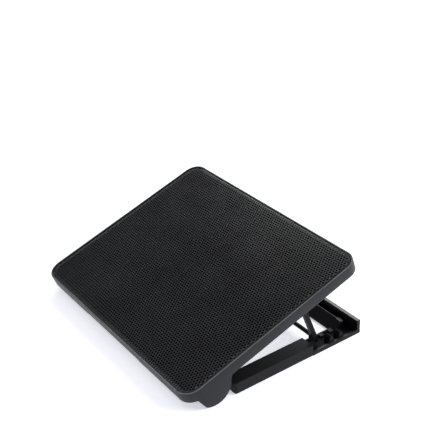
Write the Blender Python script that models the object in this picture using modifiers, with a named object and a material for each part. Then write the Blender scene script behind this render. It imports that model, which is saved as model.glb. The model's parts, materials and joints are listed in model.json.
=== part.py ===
"""Laptop cooling pad: a perforated deck with two fans, propped open on a hinged base frame.

World frame in metres: +X right, +Y rearward, +Z up, the floor at z = 0 and the origin in the
middle of the footprint. The deck's pieces are placed in the deck's own frame, whose origin is the
middle of the tilt hinge: y along the deck towards the rear, z out of its top face.
"""

import math

import bmesh
import bpy
from mathutils import Matrix, Vector

# Driving dimensions.
DECK_WIDTH = 0.344
DECK_DEPTH = 0.266
CASE_HEIGHT = 0.015
TILT = math.radians(18.0)
HINGE_SETBACK = 0.035
POD_RADIUS = 0.0235
GAP = 0.0003

# Deck case, in the deck's frame.
HALF_WIDTH = DECK_WIDTH / 2
DECK_FRONT = -HINGE_SETBACK
DECK_REAR = DECK_DEPTH - HINGE_SETBACK
FRONT_CORNER = 0.021
REAR_CORNER = 0.019
WALL = 0.0024
FRONT_WALL = 0.0045
LIP = 0.0014
LEDGE_WIDTH = 0.0038
LEDGE_LOW = 0.0112
LEDGE_TOP = 0.0128
EDGE_ROUND = 0.0008
COVER_THICKNESS = 0.0024
COVER_SEAT = 0.0006
PLATE_THICKNESS = 0.001
SQUEEZE = 0.0002
FRONT_RELIEF = (0.064, 0.002)
BOSS_RADIUS = 0.0036
BOSS_HOLE_DEPTH = 0.0052

# Tilt hinge.
POD_WIDTH = 0.016
POD_INNER = HALF_WIDTH - POD_WIDTH
POD_START = -0.0225
POD_FLAT_ANGLE = 222.0
POD_END_ANGLE = 346.0
POD_FAIRING = 0.0285
POD_BLEND = 0.0018
POD_DROP = 0.003
BORE_CAP = 0.0040
PIN_RADIUS = 0.0026
BORE_RADIUS = PIN_RADIUS + GAP
LUG_OUTER = POD_INNER - 0.0006
LUG_INNER = LUG_OUTER - 0.0088
LUG_RADIUS = 0.006
LUG_NOTCH = (-0.0085, 0.0175)
STRAP_WIDTH = 0.0038
PIN_HEAD = (0.0044, 0.0012)

# Fans.
FAN_X = 0.075
FAN_Y = 0.080
FAN_SIZE = 0.120
FAN_CORNER = 0.008
FAN_LOW = COVER_THICKNESS + GAP
FAN_TOP = 0.0125
DUCT_RADIUS = 0.0570
BLADE_TIP = 0.0552
BLADE_COUNT = 9
HUB_RADIUS = 0.0175
HUB_WALL = 0.0015
STRUT_THICKNESS = 0.0015
SHAFT_RADIUS = 0.0017
FAN_HOLE_OFFSET = 0.0525
STRUT_HALF_WIDTH = 0.002
BLADE_THICKNESS = 0.0009
BLADE_ROOT = 0.0007
BLADE_SWEEP = math.radians(14)
BLADE_CHORD = math.radians(30)
BLADE_MARGIN = 0.0008
ROTOR_LOW = FAN_LOW + STRUT_THICKNESS + 0.0007
ROTOR_TOP = 0.0120
HUB_ROOF = 0.0013
MOTOR_BASE = (0.012, 0.001)
MOTOR_COLLAR = (0.0045, 0.0012)
GRILLE_RINGS = ((0.020, 0.030), (0.0325, 0.0425), (0.045, 0.055))
GRILLE_SLOTS = 6
GRILLE_RIB = 0.0016

# Controls at the rear edge.
BOARD_LOW = 0.0032
BOARD_THICKNESS = 0.0014
BOARD_X = (0.052, 0.118)
BOARD_Y = (DECK_REAR - 0.028, DECK_REAR - WALL - 0.0012)
SOCKET_X = (0.066, 0.086)
SOCKET_SIZE = (0.0132, 0.0140, 0.0060)
SOCKET_WALL = 0.0006
TONGUE = (0.0030, 0.0046)
TONGUE_SETBACK = 0.0035
DIAL_X = 0.107
DIAL_RADIUS = 0.009
DIAL_HEIGHT = 0.0042
DIAL_OVERHANG = 0.0025
DIAL_RIDGES = 30
DIAL_GROOVE = 0.0004
DIAL_Y = DECK_REAR + DIAL_OVERHANG - DIAL_RADIUS
DIAL_BASE = BOARD_LOW + BOARD_THICKNESS + GAP + 0.0012
DIAL_ROOM = 0.0006
POST_RADIUS = 0.0019
POST_FOOT_RADIUS = 0.0029

# Bail that props the deck.
BAIL_Y = 0.146
BAIL_DROP = 0.0034
BAIL_RADIUS = 0.0030
BAIL_X = 0.156
BAIL_PIN_RADIUS = 0.0024
BRACKET_X = (0.1340, 0.1440)
BRACKET_FLANGE = 0.0018
BRACKET_REACH = 0.0136
BRACKET_SHELL = 0.0046
BRACKET_SCREW_OFFSET = 0.0095
CROSSBAR_RADIUS = 0.0028
CROSSBAR_RISE = 0.0082
HUB_BOSS_RADIUS = 0.0041
HUB_OFFSET = 0.0013
HUB_SPAN = (0.0045, 0.0031)
FOOT_RADIUS = 0.0032
FOOT_WIDTH = 0.0056
LEG_SOFTNESS = 0.9
FOOT_REST = (0.1613, 0.0050)

# Base frame: distances rearward of the tilt hinge, heights above the floor.
ARM_INNER = 0.147
BASE_LOW = 0.0006
FLOOR_TOP = 0.0024
ARM_FRONT = 0.0262
BASE_REAR = 0.2188
CASING_END = 0.1440
CASING_INNER = 0.1515
CASING_HEIGHT = 0.0158
CASING_LOW = 0.0012
CASING_NOSE = 0.0042
CASING_CORNER = 0.0055
CASING_WALL = 0.0020
LOW_WALL = 0.0058
LOW_WALL_WIDTH = 0.0030
REAR_WALL = 0.0046
REAR_WALL_TOP = 0.0195
RIDGE_TOP = 0.0112
RIDGE_FRONT = 0.1925
RIDGE_CREST = (0.2072, 0.2090)
RIDGE_END = 0.1520
RIDGE_KNOB = (0.0110, 0.0022)
TOOTH_INNER = 0.1596
TOOTH_OUTER = HALF_WIDTH - LOW_WALL_WIDTH
TOOTH_HEIGHT = 0.0128
TOOTH_PLACES = (0.1755, 0.1905)
TOOTH_ROUND = 0.0026
STUB_HEIGHT = 0.0045
STUB_HALF_LENGTH = 0.0046
STUB_ROUND = 0.0022
FRONT_BEAM = (0.0270, 0.0410)
FRONT_BEAM_TOP = 0.0085
PAD_RADIUS = 0.0075
PAD_HEIGHT = 0.0015
PAD_PLACES = (0.0480, 0.2030)
PAD_X = 0.1600
OVERLAP = 0.0004

SCREW_SHANK = 0.0010
SCREW_HEAD = 0.0026
SCREW_HEAD_HEIGHT = 0.0012
SCREW_LENGTH = 0.0060
BRACKET_SCREW_LENGTH = 0.0050

SHARP_ANGLE = math.radians(35)
WELD = 1e-6

DECK_RISE = CASE_HEIGHT * math.sin(TILT)
FOREMOST = HINGE_SETBACK * math.cos(TILT) + DECK_RISE
REARMOST = DECK_REAR * math.cos(TILT)
HINGE_Y = (FOREMOST - REARMOST) / 2


def clear_scene():
    for obj in list(bpy.data.objects):
        bpy.data.objects.remove(obj)


def new_collection(name):
    group = bpy.data.collections.new(name)
    bpy.context.scene.collection.children.link(group)
    return group


def material(name, colour, roughness, metallic=0.0):
    made = bpy.data.materials.new(name)
    made.use_nodes = True
    shader = made.node_tree.nodes["Principled BSDF"]
    shader.inputs["Base Color"].default_value = (*colour, 1.0)
    shader.inputs["Roughness"].default_value = roughness
    shader.inputs["Metallic"].default_value = metallic
    made.diffuse_color = (*colour, 1.0)
    return made


def arc(centre, radius, start, end, steps):
    """Points of an arc, in degrees, both ends included."""
    angles = [math.radians(start + (end - start) * i / steps) for i in range(steps + 1)]
    return [(centre[0] + radius * math.cos(a), centre[1] + radius * math.sin(a)) for a in angles]


def circle(centre, radius, steps=24):
    return arc(centre, radius, 0, 360, steps)[:-1]


def rectangle(low, high):
    return [low, (high[0], low[1]), high, (low[0], high[1])]


def rounded(low, high, front, rear=None, steps=6):
    """A rectangle with round corners: one radius at the front pair, another at the rear pair."""
    rear = rear or front
    points = arc((low[0] + front, low[1] + front), front, 180, 270, steps)
    points += arc((high[0] - front, low[1] + front), front, 270, 360, steps)
    points += arc((high[0] - rear, high[1] - rear), rear, 0, 90, steps)
    points += arc((low[0] + rear, high[1] - rear), rear, 90, 180, steps)
    return points


AXES = {
    "z": Matrix.Identity(4),
    "x": Matrix(((0, 0, 1, 0), (1, 0, 0, 0), (0, 1, 0, 0), (0, 0, 0, 1))),
}


def place(obj, parent, colour=None, group=None):
    (group or PARTS).objects.link(obj)
    obj.parent = parent
    if colour is not None:
        obj.data.materials.append(colour)
    return obj


def mesh_object(name, build, parent, colour=None, group=None):
    """An object from a function that fills a bmesh."""
    data = bpy.data.meshes.new(name)
    work = bmesh.new()
    build(work)
    bmesh.ops.recalc_face_normals(work, faces=work.faces)
    work.to_mesh(data)
    work.free()
    return place(bpy.data.objects.new(name, data), parent, colour, group)


def shade(solid):
    """Smooth shading that keeps the sharp edges."""
    solid.shade_smooth()
    solid.set_sharp_from_angle(angle=SHARP_ANGLE)


def mesh_of(curve):
    """A bmesh with the welded, outward-facing surface of a curve."""
    drawn = bpy.data.objects.new(curve.name + "_outline", curve)
    bpy.context.scene.collection.objects.link(drawn)
    graph = bpy.context.evaluated_depsgraph_get()
    surface = bpy.data.meshes.new_from_object(drawn.evaluated_get(graph))
    bpy.data.objects.remove(drawn)
    work = bmesh.new()
    work.from_mesh(surface)
    bpy.data.meshes.remove(surface)
    bmesh.ops.remove_doubles(work, verts=work.verts, dist=WELD)
    bmesh.ops.recalc_face_normals(work, faces=work.faces)
    return work


def prism(name, loops, low, high, parent, colour=None, group=None, axis="z"):
    """A flat outline, with holes, drawn as a 2D curve and extruded from low to high along an axis.

    Along x the outline's points are (y, z), and along z they are (x, y).
    """
    data = bpy.data.curves.new(name, "CURVE")
    data.dimensions = "2D"
    data.fill_mode = "BOTH"
    data.extrude = (high - low) / 2
    for loop in loops:
        spline = data.splines.new("POLY")
        spline.points.add(len(loop) - 1)
        spline.use_cyclic_u = True
        for point, (u, v) in zip(spline.points, loop):
            point.co = (u, v, 0, 1)
    work = mesh_of(data)
    bmesh.ops.translate(work, verts=work.verts, vec=(0, 0, (low + high) / 2))
    bmesh.ops.transform(work, matrix=AXES[axis], verts=work.verts)
    for vert in work.verts:
        vert.co = [round(value, 7) for value in vert.co]
    if len(loops) == 1:
        bmesh.ops.dissolve_limit(
            work, angle_limit=math.radians(0.1), verts=work.verts, edges=work.edges
        )
    else:
        bmesh.ops.beautify_fill(work, faces=work.faces, edges=work.edges, method="AREA")
    solid = bpy.data.meshes.new(name)
    work.to_mesh(solid)
    work.free()
    shade(solid)
    return place(bpy.data.objects.new(name, solid), parent, colour, group)


def turned(name, profile, parent, colour, steps=24):
    """A profile of (radius, height) points, given down its outer side, turned about z."""

    def outline(work):
        points = [work.verts.new((r, 0, h)) for r, h in profile]
        for first, second in zip(points, points[1:]):
            work.edges.new((first, second))

    obj = mesh_object(name, outline, parent, colour)
    screw = obj.modifiers.new("turn", "SCREW")
    screw.axis = "Z"
    screw.steps = steps
    screw.render_steps = steps
    screw.use_merge_vertices = True
    screw.merge_threshold = 1e-5
    screw.use_smooth_shade = False
    return obj


def tool_of(name, loops, low, high, parent, axis="z"):
    """A prism that only cuts or adds to another piece."""
    tool = prism(name, loops, low, high, parent, group=TOOLS, axis=axis)
    tool.hide_render = True
    tool.display_type = "WIRE"
    return tool


def combine(target, tool, operation):
    """A Boolean. Pieces with many faces in one plane use the MANIFOLD solver."""
    tool.hide_render = True
    tool.display_type = "WIRE"
    boolean = target.modifiers.new(operation.lower(), "BOOLEAN")
    boolean.operation = operation
    boolean.solver = "MANIFOLD" if target.name in SHARED_PLANES else "EXACT"
    boolean.object = tool


def cut(target, tool):
    combine(target, tool, "DIFFERENCE")


def add(target, tool):
    combine(target, tool, "UNION")


def trim(target, tool):
    combine(target, tool, "INTERSECT")


def round_edges(obj, width, segments=2, angle=40):
    bevel = obj.modifiers.new("round", "BEVEL")
    bevel.width = width
    bevel.segments = segments
    bevel.limit_method = "ANGLE"
    bevel.angle_limit = math.radians(angle)
    bevel.harden_normals = False


def empty(name, location, tilt=0.0, parent=None):
    """A joint's axis. It stays at the origin until the pieces are shaped, so their cuts are exact."""
    axis = bpy.data.objects.new(name, None)
    PARTS.objects.link(axis)
    axis.parent = parent
    axis.empty_display_size = 0.02
    PLACES.append((axis, location, tilt))
    return axis


def apply_modifiers():
    graph = bpy.context.evaluated_depsgraph_get()
    shaped = [obj for obj in PARTS.objects if obj.modifiers]
    meshes = [bpy.data.meshes.new_from_object(obj.evaluated_get(graph)) for obj in shaped]
    for obj, solid in zip(shaped, meshes):
        obj.modifiers.clear()
        obj.data = solid
    for tool in list(TOOLS.objects):
        bpy.data.objects.remove(tool)


def set_places():
    for axis, location, tilt in PLACES:
        axis.location = location
        axis.rotation_euler = (tilt, 0, 0)


def tube(name, points, radius, parent, colour):
    """A round bar along straight runs, made a mesh with its caps welded."""
    data = bpy.data.curves.new(name, "CURVE")
    data.dimensions = "3D"
    data.bevel_depth = radius
    data.bevel_resolution = 3
    data.use_fill_caps = True
    spline = data.splines.new("POLY")
    spline.points.add(len(points) - 1)
    for point, place_of in zip(spline.points, points):
        point.co = (*place_of, 1)
    work = mesh_of(data)
    solid = bpy.data.meshes.new(name)
    work.to_mesh(solid)
    work.free()
    shade(solid)
    return place(bpy.data.objects.new(name, solid), parent, colour)


def screw(name, place_of, length, parent):
    """A pan-head screw pointing up from the underside of its head."""
    tip = SCREW_HEAD_HEIGHT + length
    profile = [(0, tip), (SCREW_SHANK, tip), (SCREW_SHANK, SCREW_HEAD_HEIGHT)]
    profile += [(SCREW_HEAD, SCREW_HEAD_HEIGHT), (SCREW_HEAD, 0.0005), (0.75 * SCREW_HEAD, 0), (0, 0)]
    made = turned(name, profile, parent, STEEL, steps=8)
    made.location = place_of
    return made


def both_sides(build):
    """Runs a builder for the right side (+1) and for the left side (-1)."""
    for side, label in ((1, "right"), (-1, "left")):
        build(side, label)


def span(side, inner, outer):
    """The low and high x of a stretch from inner to outer on one side."""
    return (inner, outer) if side > 0 else (-outer, -inner)


# --- deck ---------------------------------------------------------------------------------------


def deck_outline(inset=0.0, front_inset=None):
    front_inset = inset if front_inset is None else front_inset
    low = (-HALF_WIDTH + inset, DECK_FRONT + front_inset)
    high = (HALF_WIDTH - inset, DECK_REAR - inset)
    front = max(FRONT_CORNER - inset, 0.004)
    return rounded(low, high, front, max(REAR_CORNER - inset, 0.004), steps=8)


def pod_outline():
    """Side view of a hinge pod: a disc about the tilt axis with its front cut off on a slant."""
    points = [(POD_START, 0.0)]
    points += arc((0, 0), POD_RADIUS, POD_FLAT_ANGLE, POD_END_ANGLE, 24)
    return points + [(POD_RADIUS + POD_BLEND, -POD_BLEND), (POD_FAIRING, 0.0)]


def boss_places():
    """Screw bosses just inside the walls: a pair at the front, one at each side, a pair at the rear."""
    front = DECK_FRONT + FRONT_WALL + BOSS_RADIUS
    rear = DECK_REAR - WALL - BOSS_RADIUS
    side = HALF_WIDTH - WALL - BOSS_RADIUS
    at_front = [(-0.060, front), (0.060, front)]
    at_sides = [(-side, 0.125), (side, 0.125)]
    return at_front + at_sides + [(-0.110, rear), (0.030, rear)]


def below_deck():
    """Side view of all that lies under the case, apart from the pods."""
    low = -POD_RADIUS - 0.006
    front, rear = DECK_FRONT - 0.01, DECK_REAR + 0.01
    return [(front, low), (rear, low), (rear, 0.0)] + pod_outline()[::-1] + [(front, 0.0)]


def cover_opening(inset):
    """The opening for the bottom cover, which leaves out the pods' corners."""
    low_x, high_x = -HALF_WIDTH + inset, HALF_WIDTH - inset
    front = DECK_FRONT + inset + FRONT_WALL - WALL
    rear, corner = DECK_REAR - inset, REAR_CORNER - inset
    pod_x, pod_y = POD_INNER - inset + WALL, POD_FAIRING + inset - WALL
    points = [(-pod_x, front), (pod_x, front), (pod_x, pod_y), (high_x, pod_y)]
    points += arc((high_x - corner, rear - corner), corner, 0, 90, 8)
    points += arc((low_x + corner, rear - corner), corner, 90, 180, 8)
    return points + [(low_x, pod_y), (-pod_x, pod_y)]


def case_rim(deck):
    """The visible side walls, the ledge for the deck plate, the screw bosses and the hinge pods."""
    rim = prism("case_rim", [deck_outline()], -POD_RADIUS - POD_DROP, CASE_HEIGHT, deck, PLASTIC)
    round_edges(rim, EDGE_ROUND, 2, 60)
    cut(rim, tool_of("below_deck", [below_deck()], -0.2, 0.2, deck, "x"))
    between = rectangle((-POD_INNER, DECK_FRONT - 0.01), (POD_INNER, 0.1))
    cut(rim, tool_of("between_pods", [between], -0.04, 0.0, deck))
    seat = [cover_opening(WALL)]
    cut(rim, tool_of("cover_opening", seat, -0.001, COVER_THICKNESS + COVER_SEAT, deck))
    cavity = deck_outline(WALL + COVER_SEAT, FRONT_WALL + COVER_SEAT)
    cut(rim, tool_of("cavity", [cavity], COVER_THICKNESS, LEDGE_TOP, deck))
    recess = [deck_outline(LIP)]
    cut(rim, tool_of("plate_recess", recess, LEDGE_TOP - SQUEEZE, CASE_HEIGHT + 0.001, deck))
    ledge = [deck_outline(WALL - OVERLAP, FRONT_WALL - OVERLAP)]
    ledge.append(deck_outline(WALL + LEDGE_WIDTH, FRONT_WALL + LEDGE_WIDTH))
    add(rim, tool_of("ledge", ledge, LEDGE_LOW, LEDGE_TOP - OVERLAP, deck))
    low = COVER_THICKNESS + GAP
    for index, centre in enumerate(boss_places()):
        boss = [circle(centre, BOSS_RADIUS, 16)]
        add(rim, tool_of(f"boss_{index}", boss, low, LEDGE_LOW + OVERLAP, deck))
        hole = [circle(centre, SCREW_SHANK + GAP, 12)]
        cut(rim, tool_of(f"boss_hole_{index}", hole, low - 0.001, low + BOSS_HOLE_DEPTH + 0.001, deck))
    for side in (1, -1):
        bore = [circle((0, 0), BORE_RADIUS, 24)]
        bore_span = span(side, POD_INNER - 0.001, HALF_WIDTH - BORE_CAP)
        cut(rim, tool_of(f"pod_bore_{side}", bore, *bore_span, deck, "x"))
    reach = FRONT_RELIEF[0]
    relief = rectangle((-reach, DECK_FRONT - 0.001), (reach, DECK_FRONT + FRONT_WALL + 0.001))
    cut(rim, tool_of("front_relief", [relief], -0.001, FRONT_RELIEF[1], deck))
    base = BOARD_LOW + BOARD_THICKNESS
    top = base + SOCKET_SIZE[2] + 2 * GAP
    for index, x in enumerate(SOCKET_X):
        half = SOCKET_SIZE[0] / 2 + GAP
        mouth = rectangle((x - half, DECK_REAR - 0.0075), (x + half, DECK_REAR + 0.001))
        cut(rim, tool_of(f"socket_mouth_{index}", [mouth], base, top, deck))
    half = DIAL_RADIUS + SQUEEZE
    slot = [rectangle((DIAL_X - half, DECK_REAR - 0.0085), (DIAL_X + half, DECK_REAR + 0.001))]
    high = DIAL_BASE + DIAL_HEIGHT + DIAL_ROOM
    cut(rim, tool_of("dial_slot", slot, DIAL_BASE - DIAL_ROOM, high, deck))
    return rim


def deck_plate(deck):
    """The plate that carries the laptop, lying on the rim's ledge inside its thin lip."""
    low = LEDGE_TOP + GAP
    outline = [deck_outline(LIP + GAP)]
    return prism("deck_plate", outline, low, low + PLATE_THICKNESS, deck, MESH_METAL)


def grille_slots():
    """Curved air slots under each fan, in three rings."""
    loops = []
    for side in (1, -1):
        centre = (side * FAN_X, FAN_Y)
        for inner, outer in GRILLE_RINGS:
            for index in range(GRILLE_SLOTS):
                share = 360 / GRILLE_SLOTS
                start = share * index + math.degrees(GRILLE_RIB / inner)
                end = share * (index + 1) - math.degrees(GRILLE_RIB / inner)
                loops.append(arc(centre, inner, start, end, 3) + arc(centre, outer, end, start, 4))
    return loops


def fan_screw_places():
    corners = [(x, y) for x in (-1, 1) for y in (-1, 1)]
    return [
        (side * FAN_X + FAN_HOLE_OFFSET * x, FAN_Y + FAN_HOLE_OFFSET * y)
        for side in (1, -1)
        for x, y in corners
    ]


def bracket_screw_places():
    middle = sum(BRACKET_X) / 2
    offsets = (-BRACKET_SCREW_OFFSET, BRACKET_SCREW_OFFSET)
    return [(side * middle, BAIL_Y + offset) for side in (1, -1) for offset in offsets]


def bottom_cover(deck):
    """The flat underside, with air grilles, screw holes and cut-outs for the hinge."""
    outline = [cover_opening(WALL + GAP)]
    cover = prism("bottom_cover", outline, 0, COVER_THICKNESS, deck, DARK_PLASTIC)
    for side in (1, -1):
        low, high = span(side, LUG_INNER - 0.0024, POD_INNER + 0.001)
        around_lug = rectangle((low, LUG_NOTCH[0]), (high, LUG_NOTCH[1]))
        cut(cover, tool_of(f"lug_notch_{side}", [around_lug], -0.001, 0.004, deck))
    for index, slot in enumerate(grille_slots()):
        cut(cover, tool_of(f"slot_{index}", [slot], -0.001, 0.004, deck))
    for index, centre in enumerate(boss_places() + fan_screw_places() + bracket_screw_places()):
        hole = circle(centre, SCREW_SHANK + GAP, 8)
        cut(cover, tool_of(f"screw_hole_{index}", [hole], -0.001, 0.004, deck))
    for index, centre in enumerate(boss_places() + fan_screw_places()):
        sink = circle(centre, SCREW_HEAD + GAP, 12)
        cut(cover, tool_of(f"screw_sink_{index}", [sink], -0.001, SCREW_HEAD_HEIGHT + GAP, deck))
    return cover


# --- fans ---------------------------------------------------------------------------------------


def fan_frame(side, label, deck):
    """The square housing with its duct, four struts and the motor's seat."""
    centre = Vector((side * FAN_X, FAN_Y))
    corner = Vector((FAN_SIZE / 2, FAN_SIZE / 2))
    places = fan_screw_places()[:4] if side > 0 else fan_screw_places()[4:]
    loops = [rounded(centre - corner, centre + corner, FAN_CORNER), circle(centre, DUCT_RADIUS, 48)]
    loops += [circle(p, SCREW_SHANK + GAP, 10) for p in places]
    frame = prism(f"fan_frame_{label}", loops, FAN_LOW, FAN_TOP, deck, BLACK_PLASTIC)
    high = FAN_LOW + STRUT_THICKNESS
    for index in range(4):
        angle = math.radians(45 + 90 * index)
        along = Vector((math.cos(angle), math.sin(angle)))
        across = Vector((-along.y, along.x)) * STRUT_HALF_WIDTH
        near = centre + along * (HUB_RADIUS - 0.003)
        far = centre + along * (DUCT_RADIUS + 0.001)
        bar = [near - across, far - across, far + across, near + across]
        add(frame, tool_of(f"strut_{label}_{index}", [bar], FAN_LOW, high, deck))
    seat = [circle(centre, HUB_RADIUS, 32)]
    add(frame, tool_of(f"motor_seat_{label}", seat, FAN_LOW, high, deck))
    return frame


def blade_point(radius, share):
    """A point of the blade's middle surface: the chord turns and climbs from edge to edge."""
    sweep = BLADE_SWEEP * (radius - HUB_RADIUS) / (BLADE_TIP - HUB_RADIUS)
    angle = sweep + BLADE_CHORD * (share - 0.5)
    climb = ROTOR_LOW + BLADE_MARGIN + (ROTOR_TOP - ROTOR_LOW - 2 * BLADE_MARGIN) * share
    return radius * math.cos(angle), radius * math.sin(angle), climb


def fan_rotor(side, label, deck):
    """Hub cup, shaft and swept blades, turning about the deck's normal."""
    axis = empty(f"fan_axis_{label}", (side * FAN_X, FAN_Y, 0), parent=deck)
    top, low = ROTOR_TOP, ROTOR_LOW
    inner, roof = HUB_RADIUS - HUB_WALL, ROTOR_TOP - HUB_ROOF
    profile = [(0, top), (HUB_RADIUS - 0.001, top), (HUB_RADIUS, top - 0.001), (HUB_RADIUS, low)]
    profile += [(inner, low), (inner, roof), (SHAFT_RADIUS, roof), (SHAFT_RADIUS, low), (0, low)]
    rotor = turned(f"fan_rotor_{label}", profile, axis, ROTOR_PLASTIC, steps=27)

    def blades(work):
        for index in range(BLADE_COUNT):
            grid = bmesh.ops.create_grid(work, x_segments=3, y_segments=2, size=0.5)["verts"]
            turn = Matrix.Rotation(math.tau * index / BLADE_COUNT, 3, "Z")
            for vert in grid:
                root = HUB_RADIUS - BLADE_ROOT
                reach = root + (BLADE_TIP - root) * (vert.co.x + 0.5)
                vert.co = turn @ Vector(blade_point(reach, vert.co.y + 0.5))

    vanes = mesh_object(f"blades_{label}", blades, axis, group=TOOLS)
    thicken = vanes.modifiers.new("thick", "SOLIDIFY")
    thicken.thickness = BLADE_THICKNESS
    thicken.offset = 0
    add(rotor, vanes)
    return rotor


def fan_motor(label):
    """The stator under the hub cup, with the bearing that carries the shaft."""
    axis = bpy.data.objects[f"fan_axis_{label}"]
    low = FAN_LOW + STRUT_THICKNESS + GAP
    high = ROTOR_TOP - HUB_ROOF - 2 * GAP
    bearing = SHAFT_RADIUS + GAP
    outer = HUB_RADIUS - HUB_WALL - 4 * GAP
    collar, shoulder = MOTOR_COLLAR[0], high - MOTOR_COLLAR[1]
    foot, step = MOTOR_BASE[0], low + MOTOR_BASE[1]
    profile = [(bearing, high), (collar, high), (collar, shoulder), (outer, shoulder)]
    profile += [(outer, step), (foot, step), (foot, low), (bearing, low), (bearing, high)]
    return turned(f"fan_motor_{label}", profile, axis, COPPER, steps=18)


# --- controls -----------------------------------------------------------------------------------


def control_board(deck):
    """The circuit board under the sockets and the speed dial."""
    outline = rectangle((BOARD_X[0], BOARD_Y[0]), (BOARD_X[1], BOARD_Y[1]))
    high = BOARD_LOW + BOARD_THICKNESS
    return prism("control_board", [outline], BOARD_LOW, high, deck, BOARD_GREEN)


def usb_socket(index, label, deck):
    """A folded metal shell round a mouth, open to the rear, with the contact tongue inside."""
    width, depth, height = SOCKET_SIZE
    left, right = SOCKET_X[index] - width / 2, SOCKET_X[index] + width / 2
    low = BOARD_LOW + BOARD_THICKNESS + GAP
    rear = DECK_REAR - SQUEEZE
    front = rear - depth
    outline = [rectangle((left, front), (right, rear))]
    socket = prism(f"usb_socket_{label}", outline, low, low + height, deck, STEEL)
    inner = [rectangle((left + SOCKET_WALL, front + 0.002), (right - SOCKET_WALL, rear + 0.001))]
    roof = low + height - SOCKET_WALL
    cut(socket, tool_of(f"mouth_{label}", inner, low + SOCKET_WALL, roof, deck))
    tongue = [rectangle((left + 0.002, front + 0.001), (right - 0.002, rear - TONGUE_SETBACK))]
    add(socket, tool_of(f"tongue_{label}", tongue, low + TONGUE[0], low + TONGUE[1], deck))
    return socket


def speed_control(deck):
    """A thumbwheel on a post, its edge standing out of the rear wall."""
    axis = empty("speed_dial_axis", (DIAL_X, DIAL_Y, 0), parent=deck)
    low = BOARD_LOW + BOARD_THICKNESS + GAP
    top, collar = DIAL_BASE + DIAL_HEIGHT - OVERLAP, DIAL_BASE - GAP
    post = [(0, top), (POST_RADIUS, top), (POST_RADIUS, collar), (POST_FOOT_RADIUS, collar)]
    turned("speed_regulator", post + [(POST_FOOT_RADIUS, low), (0, low)], axis, STEEL, steps=16)
    steps = ((0.0, DIAL_RADIUS - DIAL_GROOVE), (0.3, DIAL_RADIUS), (0.7, DIAL_RADIUS))
    outline = []
    for index in range(DIAL_RIDGES):
        for share, radius in steps:
            angle = math.tau * (index + share) / DIAL_RIDGES
            outline.append((radius * math.cos(angle), radius * math.sin(angle)))
    bore = circle((0, 0), POST_RADIUS + GAP, 16)
    high = DIAL_BASE + DIAL_HEIGHT
    prism("speed_dial", [outline, bore], DIAL_BASE, high, axis, BLACK_PLASTIC)


def all_screws(deck):
    """Screws that hold the cover, the fans and the bail's brackets, each driven from below."""
    under_bracket = -2 * GAP - BRACKET_FLANGE - SCREW_HEAD_HEIGHT
    rows = (
        ("cover_screw", boss_places(), GAP / 3, SCREW_LENGTH),
        ("fan_screw", fan_screw_places(), GAP / 3, SCREW_LENGTH),
        ("bracket_screw", bracket_screw_places(), under_bracket, BRACKET_SCREW_LENGTH),
    )
    for name, places, low, length in rows:
        for index, (x, y) in enumerate(places, start=1):
            screw(f"{name}_{index}", (x, y, low), length, deck)


# --- bail ---------------------------------------------------------------------------------------


def bail_geometry():
    """Length and rest angle of the bail, from its pivot on the deck to its resting place on the base."""
    pivot = Vector((
        BAIL_Y * math.cos(TILT) + BAIL_DROP * math.sin(TILT),
        POD_RADIUS + BAIL_Y * math.sin(TILT) - BAIL_DROP * math.cos(TILT),
    ))
    reach = Vector(FOOT_REST) - pivot
    return reach.length, math.atan2(reach.y, reach.x) - TILT


def bail(deck):
    """The U-shaped prop: two legs, a crossbar just above the feet, and a pivot pin on each leg.

    It is drawn lying along +y of its own frame, which is turned to the rest angle.
    """
    length, angle = bail_geometry()
    axis = empty("bail_axis", (0, BAIL_Y, -BAIL_DROP), angle, deck)
    bar_y = length - CROSSBAR_RISE
    reach = BAIL_X + FOOT_WIDTH / 2 - OVERLAP
    ends = [(-reach, bar_y, 0), (reach, bar_y, 0)]
    bar = tube("bail", ends, CROSSBAR_RADIUS, axis, BAIL_PLASTIC)
    near, far = (-BAIL_RADIUS, -BAIL_RADIUS), (length, BAIL_RADIUS)
    leg = [rounded(near, far, BAIL_RADIUS * LEG_SOFTNESS, FOOT_RADIUS * LEG_SOFTNESS, 5)]
    hub = [circle((bar_y, -HUB_OFFSET), HUB_BOSS_RADIUS, 20)]
    pin = [circle((0, 0), BAIL_PIN_RADIUS, 16)]
    for side in (1, -1):
        leg_span = span(side, BAIL_X - FOOT_WIDTH / 2, BAIL_X + FOOT_WIDTH / 2)
        add(bar, tool_of(f"leg_{side}", leg, *leg_span, axis, "x"))
        hub_span = span(side, BAIL_X - HUB_SPAN[0], BAIL_X + HUB_SPAN[1])
        add(bar, tool_of(f"hub_{side}", hub, *hub_span, axis, "x"))
        pin_span = span(side, BRACKET_X[0] - 0.0008, BAIL_X)
        add(bar, tool_of(f"bail_pin_{side}", pin, *pin_span, axis, "x"))
    return bar


def bail_bracket(side, label, deck):
    """A saddle under the cover that carries the bail's pivot pin, with a flange on each side."""
    top, low = -GAP, -GAP - BRACKET_FLANGE
    front, rear = BAIL_Y - BRACKET_REACH, BAIL_Y + BRACKET_REACH
    points = [(front, top), (front, low), (BAIL_Y - BRACKET_SHELL, low)]
    points += arc((BAIL_Y, -BAIL_DROP), BRACKET_SHELL, 180, 360, 12)
    points += [(BAIL_Y + BRACKET_SHELL, low), (rear, low), (rear, top)]
    loops = [points, circle((BAIL_Y, -BAIL_DROP), BAIL_PIN_RADIUS + GAP, 20)]
    bracket_span = span(side, *BRACKET_X)
    bracket = prism(f"bail_bracket_{label}", loops, *bracket_span, deck, BLACK_PLASTIC, axis="x")
    places = bracket_screw_places()[:2] if side > 0 else bracket_screw_places()[2:]
    for index, centre in enumerate(places):
        hole = circle(centre, SCREW_SHANK + GAP, 10)
        cut(bracket, tool_of(f"bracket_hole_{label}_{index}", [hole], -0.01, 0.001, deck))
    return bracket


# --- base ---------------------------------------------------------------------------------------


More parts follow.
